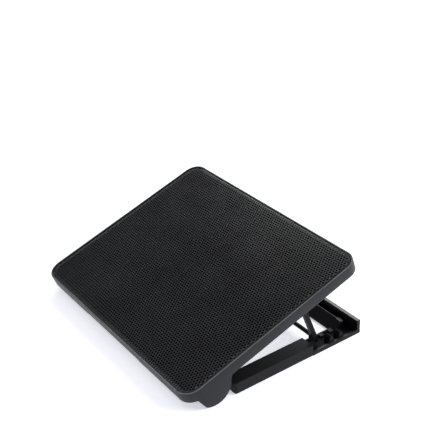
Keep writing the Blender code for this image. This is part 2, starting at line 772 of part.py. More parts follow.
def lug_outline():
    """Side view of a hinge lug: an eye round the tilt axis on a leg that runs down to the arm."""
    points = arc((0, POD_RADIUS), LUG_RADIUS, 65, 238, 14)
    points += [(0.010, BASE_LOW), (ARM_FRONT + 0.020, BASE_LOW)]
    return points + [(ARM_FRONT + 0.020, FRONT_BEAM_TOP), (ARM_FRONT - 0.002, 0.0150)]


def tooth_outline(y):
    """A saw tooth: steep towards the front, where the bail's foot bears on it, and sloping behind."""
    low = BASE_LOW + OVERLAP
    crest = (y - 0.0005, TOOTH_HEIGHT - TOOTH_ROUND)
    points = [(y - 0.0050, low), (y + 0.0065, low), (y + 0.0045, 0.0050)]
    return points + arc(crest, TOOTH_ROUND, 20, 172, 8)


def stub_outline(y):
    """Side view of the low hump beside a tooth, on the inner side of the bail's foot."""
    low, high = (y - STUB_HALF_LENGTH, BASE_LOW), (y + STUB_HALF_LENGTH, STUB_HEIGHT)
    corners = (high[0] - STUB_ROUND, low[0] + STUB_ROUND)
    points = [low, (high[0], low[1])]
    points += arc((corners[0], high[1] - STUB_ROUND), STUB_ROUND, 0, 90, 5)
    return points + arc((corners[1], high[1] - STUB_ROUND), STUB_ROUND, 90, 180, 5)


def ridge(frame, base):
    """The low ridge in front of the rear wall, with a wider round knob at each end of its crest."""
    front, (crest, rear) = RIDGE_FRONT, RIDGE_CREST
    points = [(front, BASE_LOW), (rear, BASE_LOW), (rear, RIDGE_TOP - 0.001)]
    points += [(rear - 0.0008, RIDGE_TOP), (crest, RIDGE_TOP), (front, 0.0036)]
    add(frame, tool_of("ridge", [points], -RIDGE_END, RIDGE_END, base, "x"))
    length, radius = RIDGE_KNOB
    middle = (crest + rear) / 2
    for side in (1, -1):
        low, high = span(side, RIDGE_END - length, RIDGE_END)
        knob = rounded((low, middle - radius), (high, middle + radius), radius, steps=5)
        add(frame, tool_of(f"ridge_knob_{side}", [knob], FLOOR_TOP - OVERLAP, RIDGE_TOP, base))


def foot_rack(frame, side, base):
    """The teeth that catch the bail's foot, and the low humps on its inner side."""
    tooth_span = span(side, TOOTH_INNER, TOOTH_OUTER + OVERLAP)
    stub_span = span(side, ARM_INNER - OVERLAP, RIDGE_END)
    for index, y in enumerate(TOOTH_PLACES):
        add(frame, tool_of(f"tooth_{side}_{index}", [tooth_outline(y)], *tooth_span, base, "x"))
        add(frame, tool_of(f"stub_{side}_{index}", [stub_outline(y)], *stub_span, base, "x"))


def hinge_lug(frame, side, base):
    """The strap up to the tilt axis, with the eye that the hinge pin passes through."""
    strap_span = span(side, LUG_INNER, LUG_INNER + STRAP_WIDTH)
    add(frame, tool_of(f"strap_{side}", [lug_outline()], *strap_span, base, "x"))
    eye = [circle((0, POD_RADIUS), LUG_RADIUS, 32)]
    add(frame, tool_of(f"eye_{side}", eye, *span(side, LUG_INNER + 0.0005, LUG_OUTER), base, "x"))
    bore = [circle((0, POD_RADIUS), BORE_RADIUS, 24)]
    bore_span = span(side, LUG_INNER - 0.001, LUG_OUTER + 0.001)
    cut(frame, tool_of(f"lug_bore_{side}", bore, *bore_span, base, "x"))


def base_frame(base):
    """Two arms, a front beam, a rear beam with its wall and ridge, hinge lugs and the foot racks."""
    step = HALF_WIDTH - CASING_WALL - 0.0007
    left = [(-HALF_WIDTH, BASE_REAR), (-HALF_WIDTH, CASING_END)]
    left += [(-step, CASING_END), (-step, ARM_FRONT + CASING_WALL + 0.0025)]
    outline = left + [(-x, y) for x, y in reversed(left)]
    frame = prism("base_frame", [outline], BASE_LOW, FLOOR_TOP, base, BASE_PLASTIC)
    inner = ARM_INNER - CASING_WALL
    window = rectangle((-inner, FRONT_BEAM[1]), (inner, RIDGE_FRONT))
    cut(frame, tool_of("base_window", [window], -0.001, 0.01, base))
    beam = rectangle((-ARM_INNER, FRONT_BEAM[0] + 0.004), (ARM_INNER, FRONT_BEAM[1] + 0.0005))
    add(frame, tool_of("front_beam", [beam], BASE_LOW, FRONT_BEAM_TOP, base))
    wall = rectangle((-HALF_WIDTH, BASE_REAR - REAR_WALL), (HALF_WIDTH, BASE_REAR))
    add(frame, tool_of("rear_wall", [wall], BASE_LOW, REAR_WALL_TOP, base))
    ridge(frame, base)
    for side in (1, -1):
        low_wall = [rectangle((CASING_END, BASE_LOW), (BASE_REAR - 0.001, LOW_WALL))]
        low_span = span(side, HALF_WIDTH - LOW_WALL_WIDTH, HALF_WIDTH)
        add(frame, tool_of(f"low_wall_{side}", low_wall, *low_span, base, "x"))
        inner_wall = [rectangle((ARM_FRONT + 0.010, BASE_LOW), (RIDGE_FRONT + 0.001, STUB_HEIGHT))]
        inner_span = span(side, inner, ARM_INNER)
        add(frame, tool_of(f"inner_wall_{side}", inner_wall, *inner_span, base, "x"))
        foot_rack(frame, side, base)
        hinge_lug(frame, side, base)
        for index, y in enumerate(PAD_PLACES):
            pocket = [circle((side * PAD_X, y), PAD_RADIUS + GAP, 24)]
            cut(frame, tool_of(f"pad_pocket_{side}_{index}", pocket, -0.001, PAD_HEIGHT + GAP, base))
    return frame


def arm_casing(side, label, base):
    """The raised cover over the front of an arm: a channel open underneath, with a round nose."""
    low, top, front, rear = CASING_LOW, CASING_HEIGHT, ARM_FRONT, CASING_END - GAP
    points = arc((front + CASING_NOSE, low + CASING_NOSE), CASING_NOSE, 180, 270, 6)
    points = [[(front, top)] + points + [(rear, low), (rear, top)]]
    outer = span(side, CASING_INNER, HALF_WIDTH)
    casing = prism(f"arm_casing_{label}", points, *outer, base, BASE_PLASTIC, axis="x")
    corner = (HALF_WIDTH - CASING_CORNER, front + CASING_CORNER)
    plan = [(CASING_INNER - 0.001, front - 0.001), (corner[0], front - 0.001)]
    plan += arc(corner, CASING_CORNER, 270, 360, 6)
    plan += [(HALF_WIDTH, rear + 0.001), (CASING_INNER - 0.001, rear + 0.001)]
    plan = [[(side * x, y) for x, y in plan]]
    trim(casing, tool_of(f"casing_plan_{label}", plan, low - 0.001, top + 0.001, base))
    round_edges(casing, 0.0009, 2, 50)
    inside = [rectangle((front + 0.0025, -0.001), (CASING_END + 0.001, top - CASING_WALL))]
    inner_span = span(side, CASING_INNER + CASING_WALL, HALF_WIDTH - CASING_WALL - SQUEEZE)
    cut(casing, tool_of(f"casing_hollow_{label}", inside, *inner_span, base, "x"))
    skirt = [rectangle((0, 0.0), (CASING_END + 0.001, FLOOR_TOP + GAP))]
    skirt_span = span(side, CASING_INNER - 0.001, HALF_WIDTH - CASING_WALL - GAP)
    cut(casing, tool_of(f"casing_sill_{label}", skirt, *skirt_span, base, "x"))
    return casing


def rubber_pads(side, label, base):
    """The two pads under an arm, set into its pockets."""
    for y, row in zip(PAD_PLACES, ("front", "rear")):
        outline = [circle((side * PAD_X, y), PAD_RADIUS, 24)]
        pad = prism(f"foot_{row}_{label}", outline, 0, PAD_HEIGHT, base, RUBBER)
        round_edges(pad, 0.0004, 1, 50)


def hinge_pin(side, label, base):
    """A steel pin through the lug into the pod's blind bore, with a flat head inside the lug."""
    head, thick = PIN_HEAD
    start = LUG_INNER - GAP - thick
    length = HALF_WIDTH - BORE_CAP - 0.0005 - start
    profile = [(0, length), (PIN_RADIUS - 0.0004, length), (PIN_RADIUS, length - 0.0004)]
    profile += [(PIN_RADIUS, thick), (head, thick), (head, 0), (0, 0)]
    pin = turned(f"hinge_pin_{label}", profile, base, STEEL, steps=24)
    pin.location = (side * start, 0, POD_RADIUS)
    pin.rotation_euler = (0, side * math.pi / 2, 0)
    return pin


clear_scene()
PARTS = new_collection("laptop_cooling_pad")
TOOLS = new_collection("cutters")
TOOLS.hide_render = True
PLACES = []
SHARED_PLANES = ("case_rim", "bottom_cover", "base_frame")

PLASTIC = material("case_plastic", (0.045, 0.046, 0.050), 0.50)
DARK_PLASTIC = material("cover_plastic", (0.022, 0.022, 0.024), 0.60)
BASE_PLASTIC = material("base_plastic", (0.020, 0.020, 0.022), 0.50)
BLACK_PLASTIC = material("black_plastic", (0.012, 0.012, 0.013), 0.45)
BAIL_PLASTIC = material("bail_plastic", (0.015, 0.015, 0.017), 0.40)
ROTOR_PLASTIC = material("rotor_plastic", (0.030, 0.030, 0.034), 0.35)
MESH_METAL = material("mesh_metal", (0.010, 0.010, 0.011), 0.40, 0.6)
STEEL = material("steel", (0.55, 0.56, 0.58), 0.30, 1.0)
COPPER = material("copper", (0.60, 0.28, 0.14), 0.35, 1.0)
BOARD_GREEN = material("board_green", (0.02, 0.14, 0.06), 0.40)
RUBBER = material("rubber", (0.010, 0.010, 0.010), 0.85)

BASE = empty("base_origin", (0, HINGE_Y, 0))
DECK = empty("panel_tilt_axis", (0, HINGE_Y, POD_RADIUS), TILT)

case_rim(DECK)
deck_plate(DECK)
bottom_cover(DECK)
both_sides(lambda side, label: fan_frame(side, label, DECK))
both_sides(lambda side, label: fan_rotor(side, label, DECK))
both_sides(lambda side, label: fan_motor(label))
control_board(DECK)
usb_socket(0, "inner", DECK)
usb_socket(1, "outer", DECK)
speed_control(DECK)
bail(DECK)
both_sides(lambda side, label: bail_bracket(side, label, DECK))
all_screws(DECK)
base_frame(BASE)
both_sides(lambda side, label: arm_casing(side, label, BASE))
both_sides(lambda side, label: hinge_pin(side, label, BASE))
both_sides(lambda side, label: rubber_pads(side, label, BASE))
apply_modifiers()
set_places()
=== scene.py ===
"""Looks of the laptop cooling pad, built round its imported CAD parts.

Everything is in metres in the frame of the CAD. Pieces of the deck are shaped in the deck's own
frame, whose origin is the middle of the tilt hinge: y along the deck towards the rear, z out of
its top face. Pieces of the base are shaped from the CAD nodes themselves.
"""
import json
import math

import bmesh
import bpy
from mathutils import Matrix, Vector


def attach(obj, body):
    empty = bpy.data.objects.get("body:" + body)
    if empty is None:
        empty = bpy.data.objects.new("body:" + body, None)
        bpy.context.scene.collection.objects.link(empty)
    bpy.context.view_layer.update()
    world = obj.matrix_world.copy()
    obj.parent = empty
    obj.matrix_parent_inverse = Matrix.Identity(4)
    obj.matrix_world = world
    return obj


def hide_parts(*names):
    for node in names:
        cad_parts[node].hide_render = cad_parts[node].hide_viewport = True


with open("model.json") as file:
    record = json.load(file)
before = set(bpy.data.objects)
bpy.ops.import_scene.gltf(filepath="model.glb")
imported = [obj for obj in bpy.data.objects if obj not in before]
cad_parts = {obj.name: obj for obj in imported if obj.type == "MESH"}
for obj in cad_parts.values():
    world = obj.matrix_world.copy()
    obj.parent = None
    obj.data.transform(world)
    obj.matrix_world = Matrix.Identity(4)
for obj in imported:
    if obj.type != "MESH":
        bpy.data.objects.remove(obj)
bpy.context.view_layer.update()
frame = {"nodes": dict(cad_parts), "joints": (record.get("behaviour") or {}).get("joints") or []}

JOINTS = {joint["name"]: joint for joint in frame["joints"]}

# Driving sizes, in the deck's frame.
DECK_WIDTH = 0.344
DECK_DEPTH = 0.266
HINGE_SETBACK = 0.035
CASE_HEIGHT = 0.015
HALF_WIDTH = DECK_WIDTH / 2
DECK_FRONT = -HINGE_SETBACK
DECK_REAR = DECK_DEPTH - HINGE_SETBACK
FRONT_CORNER = 0.021
REAR_CORNER = 0.019
WALL = 0.0024
FRONT_WALL = 0.0045
LIP = 0.0014
GAP = 0.0003
TILT = math.radians(-JOINTS["deck_tilt"]["range_deg"][0])
HINGE = Vector(JOINTS["deck_tilt"]["pos_m"])
DECK = Matrix.Translation(HINGE) @ Matrix.Rotation(TILT, 4, "X")
DECK_INVERSE = DECK.inverted()

# How far a cutter reaches past the face that it cuts.
CUT_PAST = 0.001

# CAD nodes that keep their shape: merging, and the rounding of their edges.
MERGE_DISTANCE = 2e-6
FLAT_ANGLE = 1.0
EDGE_ANGLE = 50
EDGES = {
    "cover": 0.0003, "fan": 0.0004, "bail": 0.0006, "bracket": 0.0004,
    "base": 0.0005, "casing": 0.0003, "foot": 0.0002,
}

# Rim. WALL_HEIGHTS are two spare points down a plain wall, where a pod has its floor.
LEDGE_WIDTH = 0.0038
LEDGE_LOW = 0.0112
LEDGE_TOP = 0.0124
LEDGE_TOLERANCE = 0.00005
WALL_HEIGHTS = (0.0048, 0.0072)
RIM_ROUND = 0.00055
# Rim faces above this height take the lip's lighter, glossier tone: a painted highlight.
LIP_HIGHLIGHT_LOW = CASE_HEIGHT - 0.6 * RIM_ROUND
POD_RADIUS = HINGE.z
POD_INNER = 0.156
POD_START = -0.0225
POD_FLAT_ANGLE = math.radians(222)
POD_END_ANGLE = math.radians(346)
POD_FAIRING = 0.0285
POD_FLOOR = 0.0024
POD_BLEND = 0.0015
SIDE_START = -0.0105
BORE_RADIUS = 0.0029
BORE_SPAN = (POD_INNER - 0.002, HALF_WIDTH - 0.004)
RELIEF_DEPTH = 0.002
RELIEF_X = (0.0590, 0.0660)
FRONT_INNER_X = (0.0, 0.02, 0.04, 0.055)
FRONT_OUTER_X = (0.085, 0.105, 0.125, 0.140)
REAR_X = (0.13, 0.1, 0.07, 0.035, 0.0)

# Base: the crests of its walls, of its ridge and of its low walls, which take lighter tones as painted
# highlights, and the coarser racks.
WALL_CREST = 0.0192
RIDGE_CREST = 0.0107
RIDGE_Y = (HINGE.y + 0.2040, HINGE.y + 0.2125)
LOW_CREST = (0.0054, 0.0060)
LOW_CREST_X = 0.1688
RACK_X = (0.1465, 0.1690)
RACK_Y = (HINGE.y + 0.1450, HINGE.y + 0.1990)
ARM_FLOOR = (0.0020, 0.0027)

# Perforated sheet. A face is a hole's wall where the z of its normal, in the deck, is below STEEP.
SHEET_TOP = 0.0141
SHEET_THICKNESS = 0.001
HOLE_RADIUS = 0.00148
HOLE_SIDES = 8
HOLE_COLUMNS = 83
HOLE_ROWS = 76
SHEET_MARGIN = 0.0012
SHEET_GAP = 0.0009
ROLL_WIDTH = 0.0036
ROLL_DROP = 0.0006
# Hole walls this near the sheet's sides take a pale metal: painted glints.
GLINT_WIDTH = 0.0050
STEEP = 0.5
# A near-black screen under the holes, as painted shade in them.
SCREEN_INSET = 0.0054
SCREEN_FRONT = 0.0075
SCREEN_SPAN = (0.01255, 0.01285)

# Fans. The hub's shoulder is given in from its side and down from its top. Angles are in degrees.
FAN_X = 0.075
FAN_Y = 0.080
ROTOR_LOW = 0.0049
ROTOR_TOP = 0.0120
HUB_RADIUS = 0.0175
HUB_STEPS = 72
HUB_FLAT = 0.45
HUB_SHOULDER = ((0.0016, 0.0001), (0.0005, 0.0005), (0.0, 0.0015))
HUB_CHAMFER = 0.0003
HUB_WALL = 0.0015
HUB_CROWN = 0.0013
SHAFT_RADIUS = 0.0017
BLADE_COUNT = 9
BLADE_TIP = 0.0552
BLADE_THICKNESS = 0.0009
BLADE_EDGE = 0.0002
BLADE_ROOT = 0.0007
BLADE_MARGIN = 0.0008
BLADE_CUP = 0.0006
BLADE_SWEEP = 14
BLADE_CHORD = 30
BLADE_CHORD_GROWTH = 3
BLADE_GRID = (14, 10)
TIP_ROUND = 0.06
TIP_ROUND_START = 0.75

# USB sockets: the shell, and the mouth in the rim that it shows through. Along y, a size named
# BACK is measured from the shell's inner end, and the others from its rear face.
SOCKET_X = (0.066, 0.086)
SOCKET_SIZE = (0.0132, 0.0140, 0.0060)
SOCKET_LOW = 0.0049
SOCKET_RECESS = 0.0002
SOCKET_SKIN = 0.0004
SOCKET_BACK = 0.002
SOCKET_CORNER = 0.0007
HOLLOW_CORNER = 0.0004
SHELL_EDGE = 0.00008
MOUTH_CORNER = 0.0008
MOUTH_DEPTH = 0.0075
SLIT_OFFSETS = (-0.0028, 0.0028)
SLIT_HALF = 0.0009
SLIT_Y = (0.0085, 0.0035)
SLIT_DEPTH = 0.0015
TONGUE_INSET = 0.0011
TONGUE_BACK = 0.0018
TONGUE_FRONT = 0.0028
TONGUE_Z = (0.0029, 0.0047)
TONGUE_EDGE = 0.0003
CONTACT_COUNT = 4
CONTACT_PITCH = 0.0024
CONTACT_HALF = 0.0005
CONTACT_BACK = 0.003
CONTACT_FRONT = 0.0036
CONTACT_Z = (-0.00012, 0.0002)

# Speed dial, and the slot in the rim that it shows through.
DIAL_X = 0.107
DIAL_RADIUS = 0.009
DIAL_LOW = 0.0061
DIAL_HEIGHT = 0.0042
DIAL_PROUD = 0.0025
DIAL_RIDGES = 36
DIAL_RIDGE_SHARES = (0.28, 0.72)
DIAL_GROOVE = 0.00045
DIAL_EDGE = 0.00015
DIAL_BORE = 0.0022
DISH_RIM = 0.0020
DISH_DEPTH = 0.0006
DIAL_CUT_TOP = 0.02
SLOT_HALF = 0.0092
SLOT_GAP = 0.0006
SLOT_CORNER = 0.0009
SLOT_DEPTH = 0.0085

# Screws: the head, half the width of a recess arm, and the shanks.
SCREW_HEAD = 0.0026
SCREW_HEAD_HEIGHT = 0.0012
SCREW_DOME = 0.75
SCREW_STEPS = 32
SCREW_EDGE = 0.00008
SCREW_TURN = 0.7
SHANK_RADIUS = 0.0010
SHANK_LENGTHS = {"cover": 0.006, "fan": 0.006, "bracket": 0.005}
RECESS_HALF = 0.00035
RECESS_REACH = 0.0015
RECESS_DEPTH = 0.0008
ON_AXIS = 1e-9

# Materials. Most values of a noise texture fall in NOISE_SPAN.
NOISE_SPAN = (0.3, 0.7)
PLASTIC_EDGE = 0.0004
PLASTIC_WEAR = 0.5
PAINT_EDGE = 0.00022
DRAWN_STREAKS = (900, 900, 60)

# Stage. A light is its place, the point that it faces, its side and its power.
FLOOR_GLOW = 0.55
FLOOR_HALF = 12
FLOOR_DROP = 0.0001
SKY_COLOUR = (0.96, 0.98, 1.0, 1)
SKY_LOW, SKY_HIGH = 0.95, 0.22
SKY_BAND = (0.30, 0.62)
LIGHTS = {
    "key": ((1.0, 0.8, 1.0), (0, 0, 0.05), 0.9, 15),
    "fill": ((-1.2, -1.5, 1.4), (0, 0, 0.03), 1.6, 3.5),
    "top": ((0.3, -0.6, 2.2), (0, 0, 0), 1.4, 10),
    "backdrop": ((-1.34, 1.15, 0.95), (0.1, 0.1, 0.02), 0.9, 9),
    "sheen": ((-1.1, 0.65, 1.2), (0, 0.05, 0.08), 0.5, 2),
}

# Camera. The lens and the sensor are in millimetres.
CAMERA_PLACE = (0.868, -0.537, 0.699)
CAMERA_AZIMUTH = math.radians(56.5)
CAMERA_ELEVATION = math.radians(28.8)
CAMERA_ROLL = math.radians(-3.4)
CAMERA_LENS = 78.9
CAMERA_SENSOR = 36
CAMERA_REACH = 50


# --- shaping ------------------------------------------------------------------------------------


def stations(start, end, count, first=0):
    """Values at even steps from start to end, both included, from the step numbered first."""
    return [start + (end - start) * i / count for i in range(first, count + 1)]


def arc(centre, radius, start, end, steps):
    """Points of an arc, in radians, both ends included."""
    angles = stations(start, end, steps)
    return [(centre[0] + radius * math.cos(a), centre[1] + radius * math.sin(a)) for a in angles]


def circle(centre, radius, steps=32):
    return arc(centre, radius, 0, math.tau, steps)[:-1]


def box_loop(low, high):
    return [low, (high[0], low[1]), high, (low[0], high[1])]


def rounded(low, high, front, rear, steps=10):
    """A rectangle with round corners: one radius at the front pair, another at the rear pair."""
    quarter = math.pi / 2
    points = arc((low[0] + front, low[1] + front), front, 2 * quarter, 3 * quarter, steps)
    points += arc((high[0] - front, low[1] + front), front, 3 * quarter, 4 * quarter, steps)
    points += arc((high[0] - rear, high[1] - rear), rear, 0, quarter, steps)
    points += arc((low[0] + rear, high[1] - rear), rear, quarter, 2 * quarter, steps)
    return points


def new_object(name, mesh, place=None):
    """A mesh as an object of the scene, moved into the deck's frame if that is given."""
    if place is not None:
        mesh.transform(place)
    obj = bpy.data.objects.new(name, mesh)
    bpy.context.scene.collection.objects.link(obj)
    return obj


def mesh_from(name, fill, place=None, closed=True):
    """An object from a function that fills a bmesh."""
    work = bmesh.new()
    fill(work)
    if closed:
        bmesh.ops.recalc_face_normals(work, faces=work.faces)
    mesh = bpy.data.meshes.new(name)
    work.to_mesh(mesh)
    work.free()
    return new_object(name, mesh, place)


def smooth(obj, angle=35):
    obj.data.shade_smooth()
    obj.data.set_sharp_from_angle(angle=math.radians(angle))


def bevel(obj, width, segments=3, angle=35):
    made = obj.modifiers.new("rounding", "BEVEL")
    made.width = width
    made.segments = segments
    made.limit_method = "ANGLE"
    made.angle_limit = math.radians(angle)
    made.use_clamp_overlap = True


def thicken(obj, thickness, offset):
    """Gives a sheet its thickness: offset -1 puts it all underneath, 0 puts half on each side."""
    made = obj.modifiers.new("thickness", "SOLIDIFY")
    made.thickness = thickness
    made.offset = offset


def boolean(obj, tool, operation="DIFFERENCE"):
    made = obj.modifiers.new(operation.lower(), "BOOLEAN")
    made.operation = operation
    made.solver = "EXACT"
    made.object = tool


def bake_modifiers(obj, *tools):
    """Turns the object's modifiers into plain mesh and removes the tools that they used."""
    graph = bpy.context.evaluated_depsgraph_get()
    mesh = bpy.data.meshes.new_from_object(obj.evaluated_get(graph))
    obj.modifiers.clear()
    obj.data = mesh
    for tool in tools:
        bpy.data.objects.remove(tool)


def add_prism(work, loop, low, high, axis="z"):
    """A closed prism in a bmesh.

    Along x the loop's points are (y, z), along y they are (x, z), and along z (x, y).
    """
    order = {
        "x": lambda u, v, w: (w, u, v),
        "y": lambda u, v, w: (u, w, v),
        "z": lambda u, v, w: (u, v, w),
    }
    rings = [[work.verts.new(order[axis](u, v, w)) for u, v in loop] for w in (low, high)]
    work.faces.new(rings[0])
    work.faces.new(rings[1])
    for i in range(len(loop)):
        j = (i + 1) % len(loop)
        work.faces.new((rings[0][i], rings[0][j], rings[1][j], rings[1][i]))


def deck_prism(name, loop, low, high, axis="z"):
    """A prism as an object, placed in the deck's frame."""
    return mesh_from(name, lambda work: add_prism(work, loop, low, high, axis), DECK)


def add_lathe(work, profile, steps):
    """A turned solid in a bmesh, from (radius, height) points that start and end on its axis."""
    rings = []
    for radius, height in profile:
        count = 1 if radius < ON_AXIS else steps
        turn = [math.tau * i / steps for i in range(count)]
        points = [(radius * math.cos(a), radius * math.sin(a), height) for a in turn]
        rings.append([work.verts.new(point) for point in points])
    for first, second in zip(rings, rings[1:]):
        for i in range(steps):
            j = (i + 1) % steps
            around = ((first, i), (first, j), (second, j), (second, i))
            corners = [ring[k % len(ring)] for ring, k in around]
            work.faces.new(list(dict.fromkeys(corners)))


def refined(source, name, width, segments=2):
    """A copy of a CAD node with its coplanar faces merged and its sharp edges rounded."""
    work = bmesh.new()
    work.from_mesh(frame["nodes"][source].data)
    bmesh.ops.remove_doubles(work, verts=work.verts, dist=MERGE_DISTANCE)
    flat = math.radians(FLAT_ANGLE)
    bmesh.ops.dissolve_limit(work, angle_limit=flat, verts=work.verts, edges=work.edges)
    mesh = bpy.data.meshes.new(name)
    work.to_mesh(mesh)
    work.free()
    obj = new_object(name, mesh)
    smooth(obj)
    bevel(obj, width, segments, EDGE_ANGLE)
    obj.modifiers.new("normals", "WEIGHTED_NORMAL").keep_sharp = True
    bake_modifiers(obj)
    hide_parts(source)
    return obj


def finish_piece(obj, body, material):
    """Gives a piece its material and makes it ride on its body."""
    obj.data.materials.clear()
    obj.data.materials.append(material)
    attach(obj, body)


def both_sides(build):
    for side, label in ((1, "right"), (-1, "left")):
        build(side, label)


# --- materials ----------------------------------------------------------------------------------


def set_sockets(tree, made, sockets):
    """Sets a node's inputs. A value is a number, a colour or another node's output."""
    for key, value in sockets.items():
        if isinstance(value, bpy.types.NodeSocket):
            tree.links.new(value, made.inputs[key])
        else:
            made.inputs[key].default_value = value


def node(tree, kind, sockets, **settings):
    """Adds a shader node with its settings and its inputs."""
    made = tree.nodes.new(kind)
    for key, value in settings.items():
        setattr(made, key, value)
    set_sockets(tree, made, sockets)
    return made


def blank_material(name, specular=0.5):
    """A material with one Principled shader, and the object's own coordinates to texture it by."""
    material = bpy.data.materials.new(name)
    material.use_nodes = True
    tree = material.node_tree
    shader = tree.nodes["Principled BSDF"]
    shader.inputs["Specular IOR Level"].default_value = specular
    place = node(tree, "ShaderNodeTexCoord", {}).outputs["Object"]
    return material, tree, shader, place


def noise(tree, place, scale, detail=2.0, rough=0.5):
    sockets = {"Vector": place, "Scale": scale, "Detail": detail, "Roughness": rough}
    return node(tree, "ShaderNodeTexNoise", sockets).outputs["Fac"]


def spread(tree, value, low, high, to_low=0.0, to_high=1.0):
    """Maps a value from one range to another, clamped."""
    sockets = {"Value": value, "From Min": low, "From Max": high}
    sockets.update({"To Min": to_low, "To Max": to_high})
    return node(tree, "ShaderNodeMapRange", sockets).outputs["Result"]


def blend_colours(tree, share, first, second):
    sockets = {"Factor": share, 6: first, 7: second}
    return node(tree, "ShaderNodeMix", sockets, data_type="RGBA").outputs[2]


def maths(tree, operation, first, second):
    return node(tree, "ShaderNodeMath", {0: first, 1: second}, operation=operation).outputs[0]


def times(tree, first, second):
    return maths(tree, "MULTIPLY", first, second)


def edge_mask(tree, radius):
    """One on corners and edges, zero on open faces, with the rounded normal that shows them."""
    round_normal = node(tree, "ShaderNodeBevel", {"Radius": radius}, samples=4).outputs["Normal"]
    flat_normal = node(tree, "ShaderNodeNewGeometry", {}).outputs["Normal"]
    sockets = {0: round_normal, 1: flat_normal}
    dot = node(tree, "ShaderNodeVectorMath", sockets, operation="DOT_PRODUCT").outputs["Value"]
    return spread(tree, dot, 0.995, 0.90), round_normal


def scaled(colour, factor):
    return (*[value * factor for value in colour], 1.0)


def mottled(tree, value, colour, dark, light):
    """A colour that drifts between a darker and a lighter tone of itself."""
    share = spread(tree, value, *NOISE_SPAN)
    return blend_colours(tree, share, scaled(colour, dark), scaled(colour, light))


def add_bump(tree, shader, height, strength, distance, normal=None):
    """Raises the surface by a height, over the rounded normal where one is given."""
    sockets = {"Strength": strength, "Distance": distance, "Height": height}
    if normal is not None:
        sockets["Normal"] = normal
    bump = node(tree, "ShaderNodeBump", sockets)
    tree.links.new(bump.outputs["Normal"], shader.inputs["Normal"])


def moulded_plastic(name, colour, roughness, specular=0.4, grain=0.0007, relief=0.00004):
    """Injection-moulded plastic: eroded grain, soft patches, faint specks and rubbed edges."""
    material, tree, shader, place = blank_material(name, specular)
    patches = noise(tree, place, scale=26, detail=3)
    grainy = noise(tree, place, scale=1 / grain, detail=3, rough=0.6)
    specks = spread(tree, noise(tree, place, scale=2.6 / grain, detail=1), 0.66, 0.74)
    smudges = noise(tree, place, scale=9, detail=4, rough=0.65)
    edges, round_normal = edge_mask(tree, PLASTIC_EDGE)
    base = mottled(tree, patches, colour, dark=0.88, light=1.12)
    base = blend_colours(tree, times(tree, specks, 0.35), base, scaled(colour, 2.0))
    rubbed = times(tree, times(tree, edges, spread(tree, smudges, 0.42, 0.62)), PLASTIC_WEAR)
    base = blend_colours(tree, rubbed, base, scaled(colour, 2.4))
    rough = spread(tree, smudges, *NOISE_SPAN, roughness - 0.07, roughness + 0.07)
    polished = maths(tree, "SUBTRACT", rough, times(tree, rubbed, 0.25))
    set_sockets(tree, shader, {"Base Color": base, "Roughness": polished})
    add_bump(tree, shader, grainy, 0.6, relief, round_normal)
    return material


def painted_metal(name, colour, roughness, specular):
    """Powder-coated steel: fine orange peel, and bare shine where the coat thins at the holes."""
    material, tree, shader, place = blank_material(name, specular)
    patches = noise(tree, place, scale=18, detail=3)
    peel = noise(tree, place, scale=1300)
    scuffs = noise(tree, place, scale=60, detail=3, rough=0.6)
    edges, round_normal = edge_mask(tree, PAINT_EDGE)
    worn = times(tree, times(tree, edges, spread(tree, scuffs, 0.40, 0.66)), 0.5)
    base = mottled(tree, patches, colour, dark=0.85, light=1.2)
    base = blend_colours(tree, worn, base, scaled(colour, 5.0))
    rough = spread(tree, patches, *NOISE_SPAN, roughness - 0.05, roughness + 0.06)
    set_sockets(tree, shader, {"Base Color": base, "Roughness": rough, "Metallic": worn})
    add_bump(tree, shader, peel, 0.5, 0.00003, round_normal)
    return material


def bare_metal(name, colour, roughness):
    """Bare metal with fine drawn streaks and uneven tarnish."""
    material, tree, shader, place = blank_material(name)
    sockets = {"Vector": place, "Scale": DRAWN_STREAKS}
    drawn = node(tree, "ShaderNodeMapping", sockets).outputs["Vector"]
    lines = noise(tree, drawn, scale=1)
    tarnish = spread(tree, noise(tree, place, scale=240, detail=4, rough=0.6), 0.35, 0.7)
    base = blend_colours(tree, tarnish, scaled(colour, 1.0), scaled(colour, 0.72))
    rough = spread(tree, lines, *NOISE_SPAN, roughness - 0.08, roughness + 0.12)
    set_sockets(tree, shader, {"Base Color": base, "Roughness": rough, "Metallic": 1.0})
    add_bump(tree, shader, lines, 0.25, 0.00002)
    return material


def copper_winding(name):
    """Enamelled copper wire laid in fine parallel turns."""
    material, tree, shader, place = blank_material(name)
    sockets = {"Vector": place, "Scale": 900, "Distortion": 2.0, "Detail": 2.0}
    turns = node(tree, "ShaderNodeTexWave", sockets, bands_direction="DIAGONAL").outputs["Fac"]
    base = blend_colours(tree, turns, (0.62, 0.25, 0.10, 1), (0.25, 0.08, 0.03, 1))
    rough = spread(tree, turns, 0, 1, 0.25, 0.45)
    set_sockets(tree, shader, {"Base Color": base, "Roughness": rough, "Metallic": 1.0})
    add_bump(tree, shader, turns, 0.6, 0.0001)
    return material


def circuit_board(name):
    """Green solder mask over a grid of copper traces."""
    material, tree, shader, place = blank_material(name)
    sockets = {"Vector": place, "Scale": 260}
    traces = node(tree, "ShaderNodeTexVoronoi", sockets, distance="MANHATTAN")
    lines = spread(tree, traces.outputs["Distance"], 0.42, 0.50)
    tone = noise(tree, place, scale=90, detail=3)
    share = spread(tree, tone, *NOISE_SPAN)
    mask = blend_colours(tree, share, (0.012, 0.10, 0.04, 1), (0.016, 0.13, 0.05, 1))
    base = blend_colours(tree, lines, mask, (0.05, 0.26, 0.10, 1))
    rough = spread(tree, tone, *NOISE_SPAN, 0.28, 0.42)
    set_sockets(tree, shader, {"Base Color": base, "Roughness": rough})
    add_bump(tree, shader, lines, 0.4, 0.00004)
    return material


